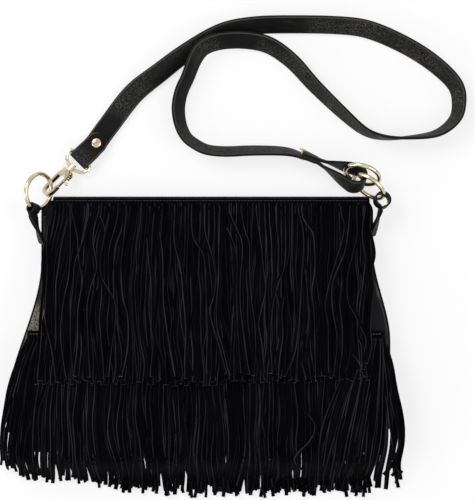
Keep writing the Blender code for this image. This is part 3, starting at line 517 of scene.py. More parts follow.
def thread_material(name, dark, light):
    nodes = Nodes(name)
    twist = nodes.noise(3200.0, 2.0, 0.6)
    nodes.set(Base_Color=nodes.ramp(twist, (0.35, dark), (0.7, light)), Roughness=0.7)
    nodes.bump(twist, 0.5, 0.0002)
    return nodes.material


# Mesh helpers

def finish_piece(obj, body, replaced=()):
    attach(obj, body)
    if replaced:
        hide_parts(*replaced)


def add_mesh(name, vertices, faces, materials, attributes=None, face_slots=None):
    """A smooth-shaded object. attributes holds one number a vertex for each name."""
    mesh = bpy.data.meshes.new(name)
    mesh.from_pydata(vertices, [], faces)
    for material in materials:
        mesh.materials.append(material)
    for key, values in (attributes or {}).items():
        mesh.attributes.new(key, "FLOAT", "POINT").data.foreach_set("value", values)
    if face_slots is not None:
        mesh.polygons.foreach_set("material_index", face_slots)
    mesh.shade_smooth()
    mesh.set_sharp_from_angle(angle=radians(50.0))
    obj = bpy.data.objects.new(name, mesh)
    bpy.context.scene.collection.objects.link(obj)
    return obj


def sheet_piece(name, columns, rows, place, thickness, material, painted_highlight=None):
    """A soft sheet whose points go to place(u, v), u and v from 0 to 1, closed to a thickness."""
    vertices = []
    painted_highlights = []
    rims = []
    for row in range(rows + 1):
        for column in range(columns + 1):
            point = place(column / columns, row / rows)
            vertices.append(point)
            painted_highlights.append(painted_highlight(point) if painted_highlight else 0.0)
            rims.append(1.0 if row in (0, rows) or column in (0, columns) else 0.0)
    faces = []
    for row in range(rows):
        for column in range(columns):
            a = row * (columns + 1) + column
            faces.append((a, a + 1, a + columns + 2, a + columns + 1))
    obj = add_mesh(name, vertices, faces, [material], {"painted_highlight": painted_highlights, "rim": rims})
    bm = bmesh.new()
    bm.from_mesh(obj.data)
    bmesh.ops.recalc_face_normals(bm, faces=bm.faces)
    bm.to_mesh(obj.data)
    bm.free()
    wall = obj.modifiers.new("wall", "SOLIDIFY")
    wall.thickness = thickness
    wall.offset = 0.0
    edge = obj.modifiers.new("soft_edge", "BEVEL")
    edge.width = thickness * 0.3
    edge.segments = 2
    edge.limit_method = "ANGLE"
    edge.angle_limit = radians(60.0)
    return obj


def ring_faces(start, rows, count, closed=False):
    """Faces between rows of count points, and from the last row to the first where closed."""
    faces = []
    for row in range(rows if closed else rows - 1):
        here = start + row * count
        ahead = start + (row + 1) % rows * count
        for side in range(count):
            beside = (side + 1) % count
            faces.append((here + side, here + beside, ahead + beside, ahead + side))
    return faces


class Lofts:
    """Many lofted strips in one mesh."""

    def __init__(self):
        self.vertices = []
        self.faces = []
        self.slots = []
        self.marks = {}

    def add(self, stations, section, marks, cap_slot=0):
        """stations are (middle, across, normal, half width); section is (share across, height)."""
        start = len(self.vertices)
        count = len(section)
        for middle, across, normal, half in stations:
            for share, height in section:
                self.vertices.append(middle + across * half * share + normal * height)
            for key, values in marks.items():
                self.marks.setdefault(key, []).extend(values)
        self.faces += ring_faces(start, len(stations), count)
        end = start + (len(stations) - 1) * count
        self.faces.append(tuple(range(start + count - 1, start - 1, -1)))
        self.faces.append(tuple(range(end, end + count)))
        self.slots += [0] * ((len(stations) - 1) * count + 1) + [cap_slot]

    def build(self, name, materials):
        return add_mesh(name, self.vertices, self.faces, materials, self.marks, self.slots)


def framed(points, roll_of, half_of):
    """Stations of a strip along points. roll_of gives its turn about its own line, in radians."""
    stations = []
    last = len(points) - 1
    for index, (point, heading) in enumerate(zip(points, headings(points))):
        level = heading.cross(UP).normalized()
        across = around(level, level.cross(heading), roll_of(index / last))
        stations.append((point, across, across.cross(heading).normalized(), half_of(index / last)))
    return stations


# Body outline and heights, as in the solids

def flare_half(side, y):
    reach = (FLARE_TOP[side] - y) / (FLARE_TOP[side] - FLARE_BOTTOM[side])
    return TOP_HALF[side] + FLARE[side] * ease(reach)


def corner_centre(side):
    y = BOTTOM_Y + BOTTOM_CORNER
    return flare_half(side, y) - BOTTOM_CORNER, y


def half_at(side, y, inset=0.0, top=TOP_Y):
    half = flare_half(side, y) - inset
    low = BOTTOM_Y + BOTTOM_CORNER - y
    if low > 0.0:
        radius = BOTTOM_CORNER - inset
        half = corner_centre(side)[0] + sqrt(max(0.0, radius ** 2 - min(low, radius) ** 2))
    high = y - (top - TOP_CORNER)
    if high > 0.0:
        half -= TOP_CORNER - sqrt(max(0.0, TOP_CORNER ** 2 - min(high, TOP_CORNER) ** 2))
    return half


def beyond(x, y):
    """How far a point lies outside the front panel's outline, negative inside."""
    side = 1 if x > 0 else -1
    centre_x, centre_y = corner_centre(side)
    if y > centre_y:
        return abs(x) - flare_half(side, y) + FRONT_INSET
    radius = BOTTOM_CORNER - FRONT_INSET
    if abs(x) < centre_x:
        return centre_y - y - radius
    return hypot(abs(x) - centre_x, y - centre_y) - radius


def rim_height(y):
    return mix(RIM_AT_MOUTH, RIM_AT_BOTTOM, ease((TOP_Y - y) / (TOP_Y - BOTTOM_Y)))


def crown_height(y):
    down = clamp((TOP_Y - y) / (TOP_Y - BOTTOM_Y - FRONT_INSET))
    if down < FULLEST:
        return mix(MOUTH_HEIGHT, BODY_HEIGHT, sin(0.5 * pi * down / FULLEST))
    return mix(BODY_HEIGHT, rim_height(y), ((down - FULLEST) / (1.0 - FULLEST)) ** 2)


def front_z(x, y):
    side = 1 if x > 0 else -1
    share = clamp(abs(x) / max(0.001, half_at(side, y, FRONT_INSET, TOP_Y + TOP_CORNER)))
    return mix(rim_height(y), crown_height(y), 1.0 - share ** CROWN_POWER)


def draped_z(x, y, lift):
    """Height of a soft layer that lies on the front panel and falls past its edge."""
    outside = beyond(x, y)
    if outside <= 0.0:
        return front_z(x, y) + lift
    return mix(rim_height(y) + lift, FLOOR + FRINGE_T / 2, ease((outside - FRINGE_FALL_START) / FRINGE_FALL))


def flap_side(side, y):
    if side > 0:
        return FLAP_RIGHT
    return mix(FLAP_LEFT_AT_FOLD, FLAP_LEFT, ease((FOLD_Y - y) / 0.05))


def fold_centre_z():
    return PANEL_T + GAP + FLAP_T / 2 + FOLD_R


def over_flap_z(x, y, lift):
    """Height of the flap (lift 0) or of a layer on it, in front of the fold."""
    top_of_fold = fold_centre_z() + FOLD_R - FLAP_SIDE_DROP * ease((FOLD_Y - y) / 0.06)
    on_front = front_z(x, y) + PANEL_T / 2 + FLAP_SNAP_SPACE + FLAP_T / 2
    return smooth_max(top_of_fold, on_front, FLAP_SHOULDER) + lift


def fold_point(x, angle, lift):
    reach = FOLD_R + lift
    turn = radians(angle)
    return Vector((x, FOLD_Y + reach * cos(turn), fold_centre_z() + reach * sin(turn)))


# Body panels, gussets and flap

def slump(x, y, seed):
    """Soft dents in a panel, only ever inwards, so that it stays under its neighbours."""
    broad = wander(x * 26.0, y * 20.0, 0.0, seed)
    fine = wander(x * 75.0, y * 60.0, 1.0, seed)
    return -BROAD_DENT * clamp(broad + 0.35) - FINE_DENT * clamp(fine + 0.2)


def painted_highlight_share(point):
    """How strong the painted highlight is where the leather shows beside the fringe."""
    total = 0.0
    for share, *edges in PAINTED_HIGHLIGHT_PATCHES:
        for axis, start, run in edges:
            share *= ease((point[axis] - start) / run)
        total += share
    return clamp(total)


def panel_piece(name, top, inset, height, material, columns, rows, painted_highlight=None):
    bottom = BOTTOM_Y + inset

    def place(u, v):
        y = mix(top, bottom, 0.5 - 0.5 * cos(pi * v))
        share = sin(0.5 * pi * (2.0 * u - 1.0))
        side = 1 if share > 0 else -1
        x = share * half_at(side, y, inset, top)
        return Vector((x, y, height(x, y)))

    return sheet_piece(name, columns, rows, place, PANEL_T, material, painted_highlight)


def gusset_edges(side, y):
    outer = Vector((side * (flare_half(side, y) - SEAM), y))
    return outer, Vector((outer.x - side * FRONT_INSET, y))


def gusset_place(outer, inner, up, bulge):
    low_z = PANEL_T + SEAM_ALLOWANCE
    high_z = front_z(inner.x, inner.y) - PANEL_T / 2 - SEAM_ALLOWANCE
    across = outer.lerp(inner, up)
    away = (outer - inner).normalized()
    across += away * bulge * sin(pi * up)
    return Vector((across.x, across.y, mix(low_z, high_z, up)))


def side_gusset_piece(name, side, material):
    top = FOLD_Y - FLAP_HEM - SEAM_ALLOWANCE
    bottom = BOTTOM_Y + BOTTOM_CORNER + GAP

    def place(u, v):
        y = mix(top, bottom, v)
        outer, inner = gusset_edges(side, y)
        pucker = FINE_DENT + SIDE_PUCKER * wander(y * 60.0, u * 2.0, 0.0, 5 + side)
        return gusset_place(outer, inner, u, -abs(pucker) * ease(v * 3.0))

    return sheet_piece(name, 8, 90, place, PANEL_T, material, painted_highlight_share)


def bottom_gusset_piece(material):
    def place(u, v):
        side = -1 if v < 0.5 else 1
        centre_x, centre_y = corner_centre(side)
        x = side * centre_x
        after = v - (1.0 - BOTTOM_CORNER_SHARE)
        if v < BOTTOM_CORNER_SHARE:
            angle = 180.0 + 90.0 * v / BOTTOM_CORNER_SHARE
        elif after > 0.0:
            angle = 270.0 + 90.0 * after / BOTTOM_CORNER_SHARE
        else:
            angle = 270.0
            share = (v - BOTTOM_CORNER_SHARE) / (1.0 - 2.0 * BOTTOM_CORNER_SHARE)
            x = mix(-corner_centre(-1)[0], corner_centre(1)[0], share)
        turn = Vector((cos(radians(angle)), sin(radians(angle))))
        centre = Vector((x, centre_y - GAP))
        outer = centre + turn * (BOTTOM_CORNER - SEAM)
        inner = centre + turn * (BOTTOM_CORNER - FRONT_INSET - SEAM)
        return gusset_place(outer, inner, u, -abs(BOTTOM_PUCKER * wander(v * 40.0, u, 0.0, 9)))

    return sheet_piece("bottom_gusset_leather", 8, 160, place, PANEL_T, material)


def flap_piece(material):
    hem_share = 0.06
    fold_share = 0.34

    def place(u, v):
        share = sin(0.5 * pi * (2.0 * u - 1.0))
        side = 1 if share > 0 else -1
        if v < hem_share:
            y = mix(FOLD_Y - FLAP_HEM, FOLD_Y, v / hem_share)
            return Vector((share * flap_side(side, FOLD_Y), y, fold_centre_z() - FOLD_R))
        if v < fold_share:
            angle = mix(-90.0, 90.0, (v - hem_share) / (fold_share - hem_share))
            return fold_point(share * flap_side(side, FOLD_Y), angle, 0.0)
        y = mix(FOLD_Y, FLAP_END_Y, (v - fold_share) / (1.0 - fold_share))
        x = share * flap_side(side, y)
        return Vector((x, y, over_flap_z(x, y, 0.0) + 0.4 * slump(x, y, 3)))

    return sheet_piece("flap_leather", 72, 66, place, FLAP_T, material)


# Fringe

# Outline of a strand, and how light its points are where it lies one way up or the other: pale cut edges,
# one of them with a painted highlight
STRAND_SECTION = ((-1.0, 0.0), (-0.96, 0.5), (0.0, 0.62), (0.96, 0.5),
                  (1.0, 0.0), (0.96, -0.5), (0.0, -0.4), (-0.96, -0.5))
STRAND_EDGE_AND_HIGHLIGHT = (1.0, 1.0, 0.0, 0.45, 0.45, 0.2, 0.0, 0.45)
MIRRORED_EDGE_AND_HIGHLIGHT = (0.45, 0.45, 0.0, 1.0, 1.0, 0.45, 0.0, 0.2)


def add_strand(lofts, points, width, twist, least_catch=0.35):
    """A cut strip along points, frayed a little in width, turning about its own line by twist(share)."""
    taper = random.uniform(-0.12, 0.12)
    seed = random.uniform(0.0, 50.0)

    def half_of(share):
        return width / 2 * (1.0 + taper * share + 0.14 * wander(share * 9.0, seed, 0.0, 2))

    section = [(share, height * FRINGE_T) for share, height in STRAND_SECTION]
    # Painted highlight: one cut edge of each strand is made lighter than the other, as if lit from the side,
    # by a random amount
    rim = STRAND_EDGE_AND_HIGHLIGHT if random.random() < 0.5 else MIRRORED_EDGE_AND_HIGHLIGHT
    catch = random.uniform(least_catch, 1.0)
    lofts.add(framed(points, twist, half_of), section, {"rim": [value * catch for value in rim]}, cap_slot=1)


def curl_tip(points, reach=6, kink=TIP_KINK):
    """Kinks the last points of a strand sideways and up, as a cut end does."""
    side = random.uniform(-1.0, 1.0)
    rise = random.uniform(0.2, 1.0)
    for step in range(1, reach + 1):
        share = (1.0 - (step - 1) / reach) ** 2
        points[-step] = points[-step] + Vector((kink * side * share, 0.0, TIP_RISE * rise * share ** 3))


def twist_field(seed, strength):
    phase = random.uniform(-0.5, 0.5)
    turns = random.uniform(1.2, 3.2)

    def twist(share):
        return strength * (0.35 * phase + ease(share * 3.0) * wander(share * turns, seed * 3.1, phase, 4))

    return twist


def upper_point(x0, y, wave, lift, side_share):
    x = x0 + wave
    settled = SETTLE * ease((FLAP_END_Y - y - FLAP_T) / 0.025)
    side = 1 if x0 > 0 else -1
    x += (flap_side(side, y) - flap_side(side, FOLD_Y)) * side * side_share
    return Vector((x, y, over_flap_z(x, y, lift) - settled))


def upper_wave(x0, y, seed, own):
    """Sideways drift of a strand: a drift its neighbours share and a smaller one of its own."""
    along = (FOLD_Y - y) / (FOLD_Y - UPPER_TIP_Y)
    grow = ease(along * 2.4)
    shared = TIER_DRIFT * wander(x0 * 34.0, y * 17.0, 0.0, 1)
    shared += TIER_FINE_DRIFT * wander(x0 * 90.0, y * 38.0, 0.0, 6)
    single = own * OWN_DRIFT * wander(seed * 7.7, y * 24.0, 0.0, 8)
    return grow * (shared + single) + 0.002 * along * sin(x0 / 0.033 + 2.0 * along)


def pixel_path(pixels):
    """A smooth path through points given as X, Y, X, Y and so on in pixels."""
    return catmull([from_pixel(*pixel) for pixel in zip(pixels[::2], pixels[1::2])], PATH_STEPS)


def upper_fringe_piece(materials):
    random.seed(11)
    lofts = Lofts()
    left = flap_side(-1, FOLD_Y)
    base_lift = FLAP_T / 2 + GAP + FRINGE_T / 2
    for layer, count in enumerate(UPPER_LAYERS):
        pitch = (left + FLAP_RIGHT) / count
        for index in range(count):
            step = index + layer * random.uniform(-LAYER_SHIFT, LAYER_SHIFT)
            x0 = -left + (step + 0.5) * pitch
            tip = UPPER_TIP_Y + random.uniform(-0.003, 0.003) + 0.003 * ease(x0 / 0.12)
            own = random.uniform(0.2, 0.8) if random.random() < 0.7 else random.uniform(1.1, 2.2)
            lie = random.uniform(0.0, 0.0011) + LAYER_LIE * layer
            root_lift = base_lift + LAYER_STAND * layer
            points = [fold_point(x0, angle, root_lift) for angle in (74.0, 80.0, 86.0)]
            for sample in range(UPPER_SAMPLES):
                share = sample / (UPPER_SAMPLES - 1)
                y = mix(FOLD_Y, tip, share)
                lift = base_lift + lie * ease(share * 5.0) + LOOSE_LAY * 0.45 * ease(share * 3.0)
                points.append(upper_point(x0, y, upper_wave(x0, y, step, own), lift, abs(x0) / 0.15))
            curl_tip(points)
            strength = random.choice((0.25, 0.35, 0.5, 0.9, 1.5)) if layer else 0.3
            width = random.uniform(*UPPER_W) if layer else UPPER_UNDER_W
            add_strand(lofts, points, width, twist_field(index + 13 * layer, strength))
    for number, pixels in enumerate(CROSSING_STRANDS):
        path = pixel_path(pixels)
        points = []
        if path[0][1] > CROSSING_ROOT_Y:
            points = [fold_point(path[0][0], angle, base_lift + LAYER_STAND) for angle in (80.0, 88.0)]
        for index, (x, y) in enumerate(path):
            lift = base_lift + LAYER_STAND + CROSSING_LIFT * ease(8.0 * index / len(path))
            points.append(upper_point(x, y, 0.0, lift, 0.0))
        curl_tip(points)
        add_strand(lofts, points, CROSSING_W, twist_field(number, 0.5), 0.85)
    return lofts.build("upper_strands", materials)


def upper_band_piece(material):
    left = flap_side(-1, FOLD_Y)
    lift = FLAP_T / 2 + GAP + BAND_T / 2

    def place(u, v):
        x = mix(-left, FLAP_RIGHT, u)
        ragged = 1.6 * wander(x * 160.0, 0.0, 0.0, 12)
        return fold_point(x, mix(BAND_START + ragged * (1.0 - v), BAND_END, v), lift)

    return sheet_piece("upper_band", 200, 10, place, BAND_T, material)


def lower_lift(along):
    return PANEL_T / 2 + GAP + FRINGE_T / 2 + LAYER_STAND + LOOSE_LAY * 0.6 * ease(along / 0.3)


def lower_fringe_piece(materials):
    random.seed(23)
    lofts = Lofts()
    for layer, count in enumerate(LOWER_LAYERS):
        for index in range(count):
            share_across = (index + 0.5 + layer * random.uniform(-LAYER_SHIFT, LAYER_SHIFT)) / count
            x0 = mix(-LOWER_HALF_TOP[-1], LOWER_HALF_TOP[1] - SWEPT_ROOT_WIDTH, share_across)
            x1 = x0 + LEFT_SPREAD * ease((-0.105 - x0) / 0.06) + RIGHT_SPREAD * ease((x0 - 0.11) / 0.04)
            tip = along_line(LOWER_TIPS, x1) + random.choice(LOWER_TIP_STEPS)
            tip += random.uniform(-LOWER_TIP_SPREAD, LOWER_TIP_SPREAD)
            own = random.uniform(0.001, 0.0048)
            lie = random.uniform(0.0, 0.0012) + LAYER_LIE * min(layer, 1)
            points = []
            for sample in range(LOWER_SAMPLES):
                along = sample / (LOWER_SAMPLES - 1)
                y = mix(LOWER_CUT_Y + 0.002, tip, along)
                x = mix(x0, x1, 1.0 - (1.0 - clamp(along * 1.35)) ** 2)
                grow = ease(along * 2.0)
                x += grow * LOWER_DRIFT * wander(x0 * 38.0, y * 19.0, 0.0, 21)
                x += grow * own * wander(index * 5.3 + layer, y * 27.0, 0.0, 22)
                z = draped_z(x, y, lower_lift(along) + lie * ease(along * 4.0))
                points.append(Vector((x, y, max(z, FLOOR + FRINGE_T / 2 + lie))))
            curl_tip(points, 7, LOWER_TIP_KINK)
            strength = random.choice((0.3, 0.4, 0.7, 1.2, 1.8)) if layer else 0.3
            width = random.uniform(*LOWER_W) if layer else LOWER_UNDER_W
            add_strand(lofts, points, width, twist_field(index + 40, strength))
    return lofts.build("lower_strands", materials)


def laid_points(path, lift):
    """Points over a path of (x, y) on the front, lifted within its first third."""
    points = []
    last = len(path) - 1
    for index, (x, y) in enumerate(path):
        z = draped_z(x, y, lower_lift(1.0) + lift * ease(3.0 * index / last))
        points.append(Vector((x, y, max(z, FLOOR + FRINGE_T / 2 + lift * 0.5))))
    return points


def swept_strands_piece(materials):
    """Strands of the lower tier that were brushed aside at the right, and a few loose ones."""
    random.seed(37)
    lofts = Lofts()
    for layer in range(2):
        for index in range(SWEPT_STRANDS):
            t = clamp((index + random.uniform(-0.3, 0.3)) / (SWEPT_STRANDS - 1))
            start = Vector((mix(*SWEPT_ROOTS, t), LOWER_CUT_Y + 0.003))
            bend_x = mix(*SWEPT_BENDS, t ** 0.8) + 0.003 * layer
            bend = Vector((bend_x, SWEPT_BEND_Y + random.uniform(-0.006, 0.006)))
            end_x = mix(*SWEPT_TIPS, t) + random.uniform(-0.004, 0.004)
            end = Vector((end_x, SWEPT_TIP_Y + random.uniform(-0.006, 0.005)))
            path = []
            for sample in range(LOWER_SAMPLES):
                s = sample / (LOWER_SAMPLES - 1)
                point = start * (1 - s) ** 2 + bend * 2 * s * (1 - s) + end * s * s
                path.append((point.x + 0.0015 * wander(s * 4.0, index * 3.3, layer, 31), point.y))
            lift = 0.0012 + 0.0013 * layer + 0.0016 * (1.0 - t) + random.uniform(0.0, 0.0006)
            width = random.uniform(*SWEPT_W)
            twist = twist_field(index + 80, random.choice((0.3, 0.6, 1.1)))
            add_strand(lofts, laid_points(path, lift), width, twist, 0.75)
    for group, lift, width in ((OUTER_STRANDS, OUTER_LIFT, OUTER_W), (LONE_STRANDS, LONE_LIFT, LONE_W)):
        for number, pixels in enumerate(group):
            points = laid_points(pixel_path(pixels), lift + LAYER_STAND * number)
            add_strand(lofts, points, width, twist_field(number + 120, 0.8), 0.85)
    return lofts.build("swept_strands", materials)


def lower_band_piece(material):
    lift = PANEL_T / 2 + GAP + BAND_T / 2 + GAP

    def place(u, v):
        x = mix(-LOWER_HALF_TOP[-1], LOWER_HALF_TOP[1], u)
        y = mix(LOWER_BAND_TOP, LOWER_CUT_Y, v)
        return Vector((x, y, draped_z(x, y, lift)))

    return sheet_piece("lower_band", 120, 8, place, BAND_T, material)


# Stitches

STITCH_SECTION = tuple((cos(radians(a)), sin(radians(a))) for a in range(0, 360, 60))


def stitches(name, points, out, length, radius, material):
    """A short thread arc between each two points, standing out of the surface along out."""
    lofts = Lofts()
    section = [(x, y * radius) for x, y in STITCH_SECTION]
    for start, end in zip(points, points[1:]):
        along = end - start
        a = start + along * 0.5 * (1.0 - length / STITCH_PITCH)
        b = a + along.normalized() * length
        arc = []
        for step in range(5):
            s = step / 4
            arc.append(a.lerp(b, s) + out * (radius * 1.6 * sin(pi * s) - radius * 0.6))
        lofts.add(framed(arc, lambda share: 0.0, lambda share: radius), section, {})
    return lofts.build(name, [material])


def upper_stitches(material):
    left = flap_side(-1, FOLD_Y) - STITCH_INSET
    lift = FLAP_T / 2 + GAP + BAND_T + STITCH_STAND
    points = []
    for i in range(UPPER_STITCHES + 1):
        x = mix(-left, FLAP_RIGHT - STITCH_INSET, i / UPPER_STITCHES)
        points.append(fold_point(x, UPPER_STITCH_ANGLE, lift))
    out = around(Vector((0.0, 1.0, 0.0)), UP, radians(UPPER_STITCH_ANGLE))
    return stitches("upper_band_stitches", points, out, 0.0021, 0.00028, material)


def lower_stitches(material):
    y = LOWER_BAND_TOP - LOWER_STITCH_DROP
    lift = PANEL_T / 2 + GAP + BAND_T + GAP + STITCH_STAND
    points = []
    for i in range(LOWER_STITCHES + 1):
        share = i / LOWER_STITCHES
        x = mix(-LOWER_HALF_TOP[-1] + STITCH_INSET, LOWER_HALF_TOP[1] - STITCH_INSET, share)
        points.append(Vector((x, y, draped_z(x, y, lift))))
    return stitches("lower_band_stitches", points, UP, 0.002, 0.00032, material)


# Rings and tabs

class Ring:
    """A round wire ring: its level diameter and its steepest one."""

    def __init__(self, centre, heading, tilt):
        self.centre = centre
        self.level = Vector((cos(heading), sin(heading), 0.0))
        self.down = around(-UP.cross(self.level), -UP, tilt)

    def at(self, angle):
        return self.centre + around(self.level, self.down, angle) * RING_R

    def along(self, angle):
        return around(self.down, -self.level, angle)

    def build(self, name, material, steps=96, sides=20):
        vertices = []
        normal = self.down.cross(self.level)
        for step in range(steps):
            turn = 2.0 * pi * step / steps
            outward = (self.at(turn) - self.centre).normalized()
            for side in range(sides):
                lean = 2.0 * pi * side / sides
                vertices.append(self.at(turn) + around(outward, normal, lean) * WIRE_R)
        return add_mesh(name, vertices, ring_faces(0, steps, sides, True), [material])


LEFT_RING = Ring(LEFT_RING_CENTRE, LEFT_RING_HEADING, LEFT_RING_TILT)
RIGHT_RING = Ring(RIGHT_RING_CENTRE, RIGHT_RING_HEADING, RIGHT_RING_TILT)
STRAP_RING = Ring(STRAP_RING_CENTRE, STRAP_RING_HEADING, STRAP_RING_TILT)


def gusset_seat(side, y):
    outer, inner = gusset_edges(side, y)
    low = gusset_place(outer, inner, 0.0, 0.0)
    high = gusset_place(outer, inner, 1.0, 0.0)
    up = (high - low).normalized()
    outward = Vector((0.0, 1.0, 0.0)).cross(up) * side
    stand = PANEL_T / 2 + TAB_STAND + TAB_T + TAB_LAYER_GAP / 2
    return (low + high) / 2 - up * TAB_BELOW_SEAM + outward * stand, up


def tab_line(side, root_y, ring, angle, bore):
    """Middle line and width direction of a tab, from its sewn end round the ring and back."""
    root, up = gusset_seat(side, root_y)
    axis = ring.along(angle)
    if axis.z < 0.0:
        axis = -axis
    reach = ring.at(angle) - root
    toward = (reach - axis * reach.dot(axis)).normalized()
    bow = RING_R - sqrt(RING_R ** 2 - (TAB_WIDTH / 2) ** 2)
    eye = ring.at(angle) - toward * (bore - WIRE_R - GAP - bow)
    straight = (eye - root).normalized()
    radius = bore + TAB_T / 2
    half_gap = (TAB_T + TAB_LAYER_GAP) / 2
    neck_angle = asin(half_gap / radius)
    toward = (straight - axis * straight.dot(axis)).normalized()
    sideways = axis.cross(toward)
    neck = eye - toward * radius * cos(neck_angle)
    stations = []
    steps = 14
    eye_steps = 40
    for step in range(steps):
        share = step / steps
        lean = up.lerp(axis, ease(share)).normalized()
        stations.append((root.lerp(neck, share) - lean.cross(straight).normalized() * half_gap, lean))
    for step in range(eye_steps + 1):
        turn = pi + neck_angle + 2.0 * (pi - neck_angle) * step / eye_steps
        stations.append((eye + around(toward, sideways, turn) * radius, axis))
    for middle, lean in reversed(stations[:steps]):
        stations.append((middle + lean.cross(straight).normalized() * 2.0 * half_gap, lean))
    return stations


def flat_section(thickness):
    """Outline of a flat strap with rounded edges, as (share of the half width, height)."""
    high = thickness / 2
    corner = EDGE_R / (STRAP_W / 2)
    crease = 0.92 - corner
    edge = [(1.0, 0.0), (1.0 - 0.3 * corner, 0.75 * high), (1.0 - corner, high), (crease, 0.93 * high),
            (crease - 0.06, high)]
    upper = [(-share, height) for share, height in edge] + [(0.0, high)] + edge[::-1]
    return upper + [(share, -height) for share, height in reversed(upper[1:-1])]


# How light and how rough the points of that outline are: pale cut edges with a painted highlight
FLAT_EDGE_AND_HIGHLIGHT = (0.2, 0.7, 1.0, 0.3, 0.0, 0.0, 0.0, 0.3, 1.0, 0.7) * 2
FLAT_ROUGH = (0.0, 0.0, 0.0, 1.0, 1.0, 1.0, 1.0, 1.0, 0.0, 0.0) * 2


def band_loft(stations, thickness):
    """Loft of (middle, across, half width) with the flat section."""
    lofts = Lofts()
    rows = []
    for (middle, across, half), heading in zip(stations, headings([row[0] for row in stations])):
        across = (across - heading * across.dot(heading)).normalized()
        rows.append((middle, across, across.cross(heading).normalized(), half))
    section = flat_section(thickness)
    lofts.add(rows, section, {"rim": FLAT_EDGE_AND_HIGHLIGHT, "rough": FLAT_ROUGH, "painted_highlight": (0.0,) * len(section)})
    return lofts


def tab_piece(name, line, material):
    stations = [(middle, lean, TAB_WIDTH / 2) for middle, lean in line]
    return band_loft(stations, TAB_T).build(name, [material])


# Strap

def rounded_half(from_tip):
    inside = max(0.0, STRAP_TIP_R - from_tip)
    return max(0.0015, sqrt(STRAP_TIP_R ** 2 - inside ** 2)) * STRAP_W / 2 / STRAP_TIP_R


def clip_back():
    axis = (LEFT_RING.at(LEFT_HOOK_ANGLE) - CLIP_BAR).normalized()
    return Vector((-axis.x, -axis.y, 0.0)).normalized()


def route_stations():
    samples = catmull(STRAP_ROUTE, 3)
    stations = []
    level_line = [Vector((x, y, 0.0)) for x, y, roll, lift in samples]
    for (x, y, roll, lift), heading in zip(samples, headings(level_line)):
        turn = radians(roll)
        across = around(UP.cross(heading), UP, turn)
        stand = STRAP_W / 2 * abs(sin(turn)) + STRAP_T / 2 * abs(cos(turn))
        stations.append((Vector((x, y, FLOOR + STRAP_STAND + max(0.0, lift) + stand)), across, STRAP_W / 2))
    return stations


def left_fold():
    """The strap's end round the clip's bar, from the tip of its tongue to its lower layer."""
    back = clip_back()
    across = UP.cross(back)
    radius = CLIP_WIRE_R + FOLD_GAP + STRAP_T / 2
    lower = CLIP_BAR.z - radius
    tongue_z = lower + STRAP_T + TAB_LAYER_GAP
    stations = []
    for distance in LEFT_TONGUE_ROWS:
        middle = CLIP_BAR + back * distance
        middle.z = mix(tongue_z, CLIP_BAR.z + radius, ease((LEFT_TONGUE_RISE - distance) / LEFT_TONGUE_RISE))
        stations.append((middle, across, rounded_half(LEFT_TONGUE - distance)))
    for step in range(9):
        angle = radians(mix(90.0, 270.0, step / 8))
        stations.append((CLIP_BAR + around(back, UP, angle) * radius, across, STRAP_W / 2))
    for distance in LEFT_UNDER_ROWS:
        middle = CLIP_BAR + back * distance
        middle.z = lower
        stations.append((middle, across, STRAP_W / 2))
    return stations


def right_loop(route):
    """The strap's open loop round the right rings and the tongue that lies back on it."""
    neck, neck_axis, half = route[-1]
    toward = (STRAP_LOOP_CENTRE - neck).normalized()
    axis = (STRAP_LOOP_LEAN - toward * STRAP_LOOP_LEAN.dot(toward)).normalized()
    sideways = axis.cross(toward)
    radius = STRAP_LOOP_BORE + STRAP_T / 2
    layer = STRAP_T + TAB_LAYER_GAP
    tangent = 90.0 + degrees(asin(radius / (STRAP_LOOP_CENTRE - neck).length))
    arc_points = []
    for step in range(15):
        angle = radians(mix(-tangent, tangent, step / 14))
        arc_points.append(STRAP_LOOP_CENTRE + around(toward, sideways, angle) * radius)
    stations = []

    def add_leg(foot, arc_end, shares):
        for share in shares:
            lean = neck_axis.lerp(axis, ease(share)).normalized()
            stations.append((foot.lerp(arc_end, share), lean, half))

    add_leg(neck, arc_points[0], (0.2, 0.4, 0.6, 0.8))
    for point in arc_points:
        stations.append((point, axis, half))
    add_leg(neck + sideways * layer, arc_points[-1], (0.8, 0.6, 0.4, 0.2))
    travelled = 0.0
    for index in range(len(route) - 1, 0, -1):
        middle, lean, _ = route[index]
        run = middle - route[index - 1][0]
        stations.append((middle + lean.cross(run.normalized()) * layer, lean,
                         rounded_half(RIGHT_TONGUE - travelled)))
        travelled += run.length
        if travelled > RIGHT_TONGUE - 0.0005:
            break
    return stations


def painted_shade_share(point):
    """1 where the strap's face is painted smooth and dark as shade, 0 where it is rough."""
    share = 0.0
    for px, py, reach in SHADED_STRAP_PATCHES:
        x, y = from_pixel(px, py)
        away = hypot(point.x - x, point.y - y) / PIXEL
        share = max(share, ease((reach - away) / (0.5 * reach)))
    return share


def strap_piece(material):
    route = route_stations()
    coarse = left_fold() + route + right_loop(route)
    rows = [(*middle, *across, half) for middle, across, half in coarse]
    fine = [(Vector(row[0:3]), Vector(row[3:6]).normalized(), row[6]) for row in catmull(rows, 4)]
    obj = band_loft(fine, STRAP_T).build("strap_leather_band", [material])
    rough = obj.data.attributes["rough"].data
    # Painted shade: the rough speckle gives way to the smooth dark face where the strap lies in shadow
    for vertex, share in zip(obj.data.vertices, rough):
        share.value *= 1.0 - painted_shade_share(vertex.co)
    return obj


RIVET_PROFILE = ((1.0, -1.0), (1.0, -0.6), (0.93, -0.2), (0.72, 0.35), (0.4, 0.75), (0.01, 0.9))


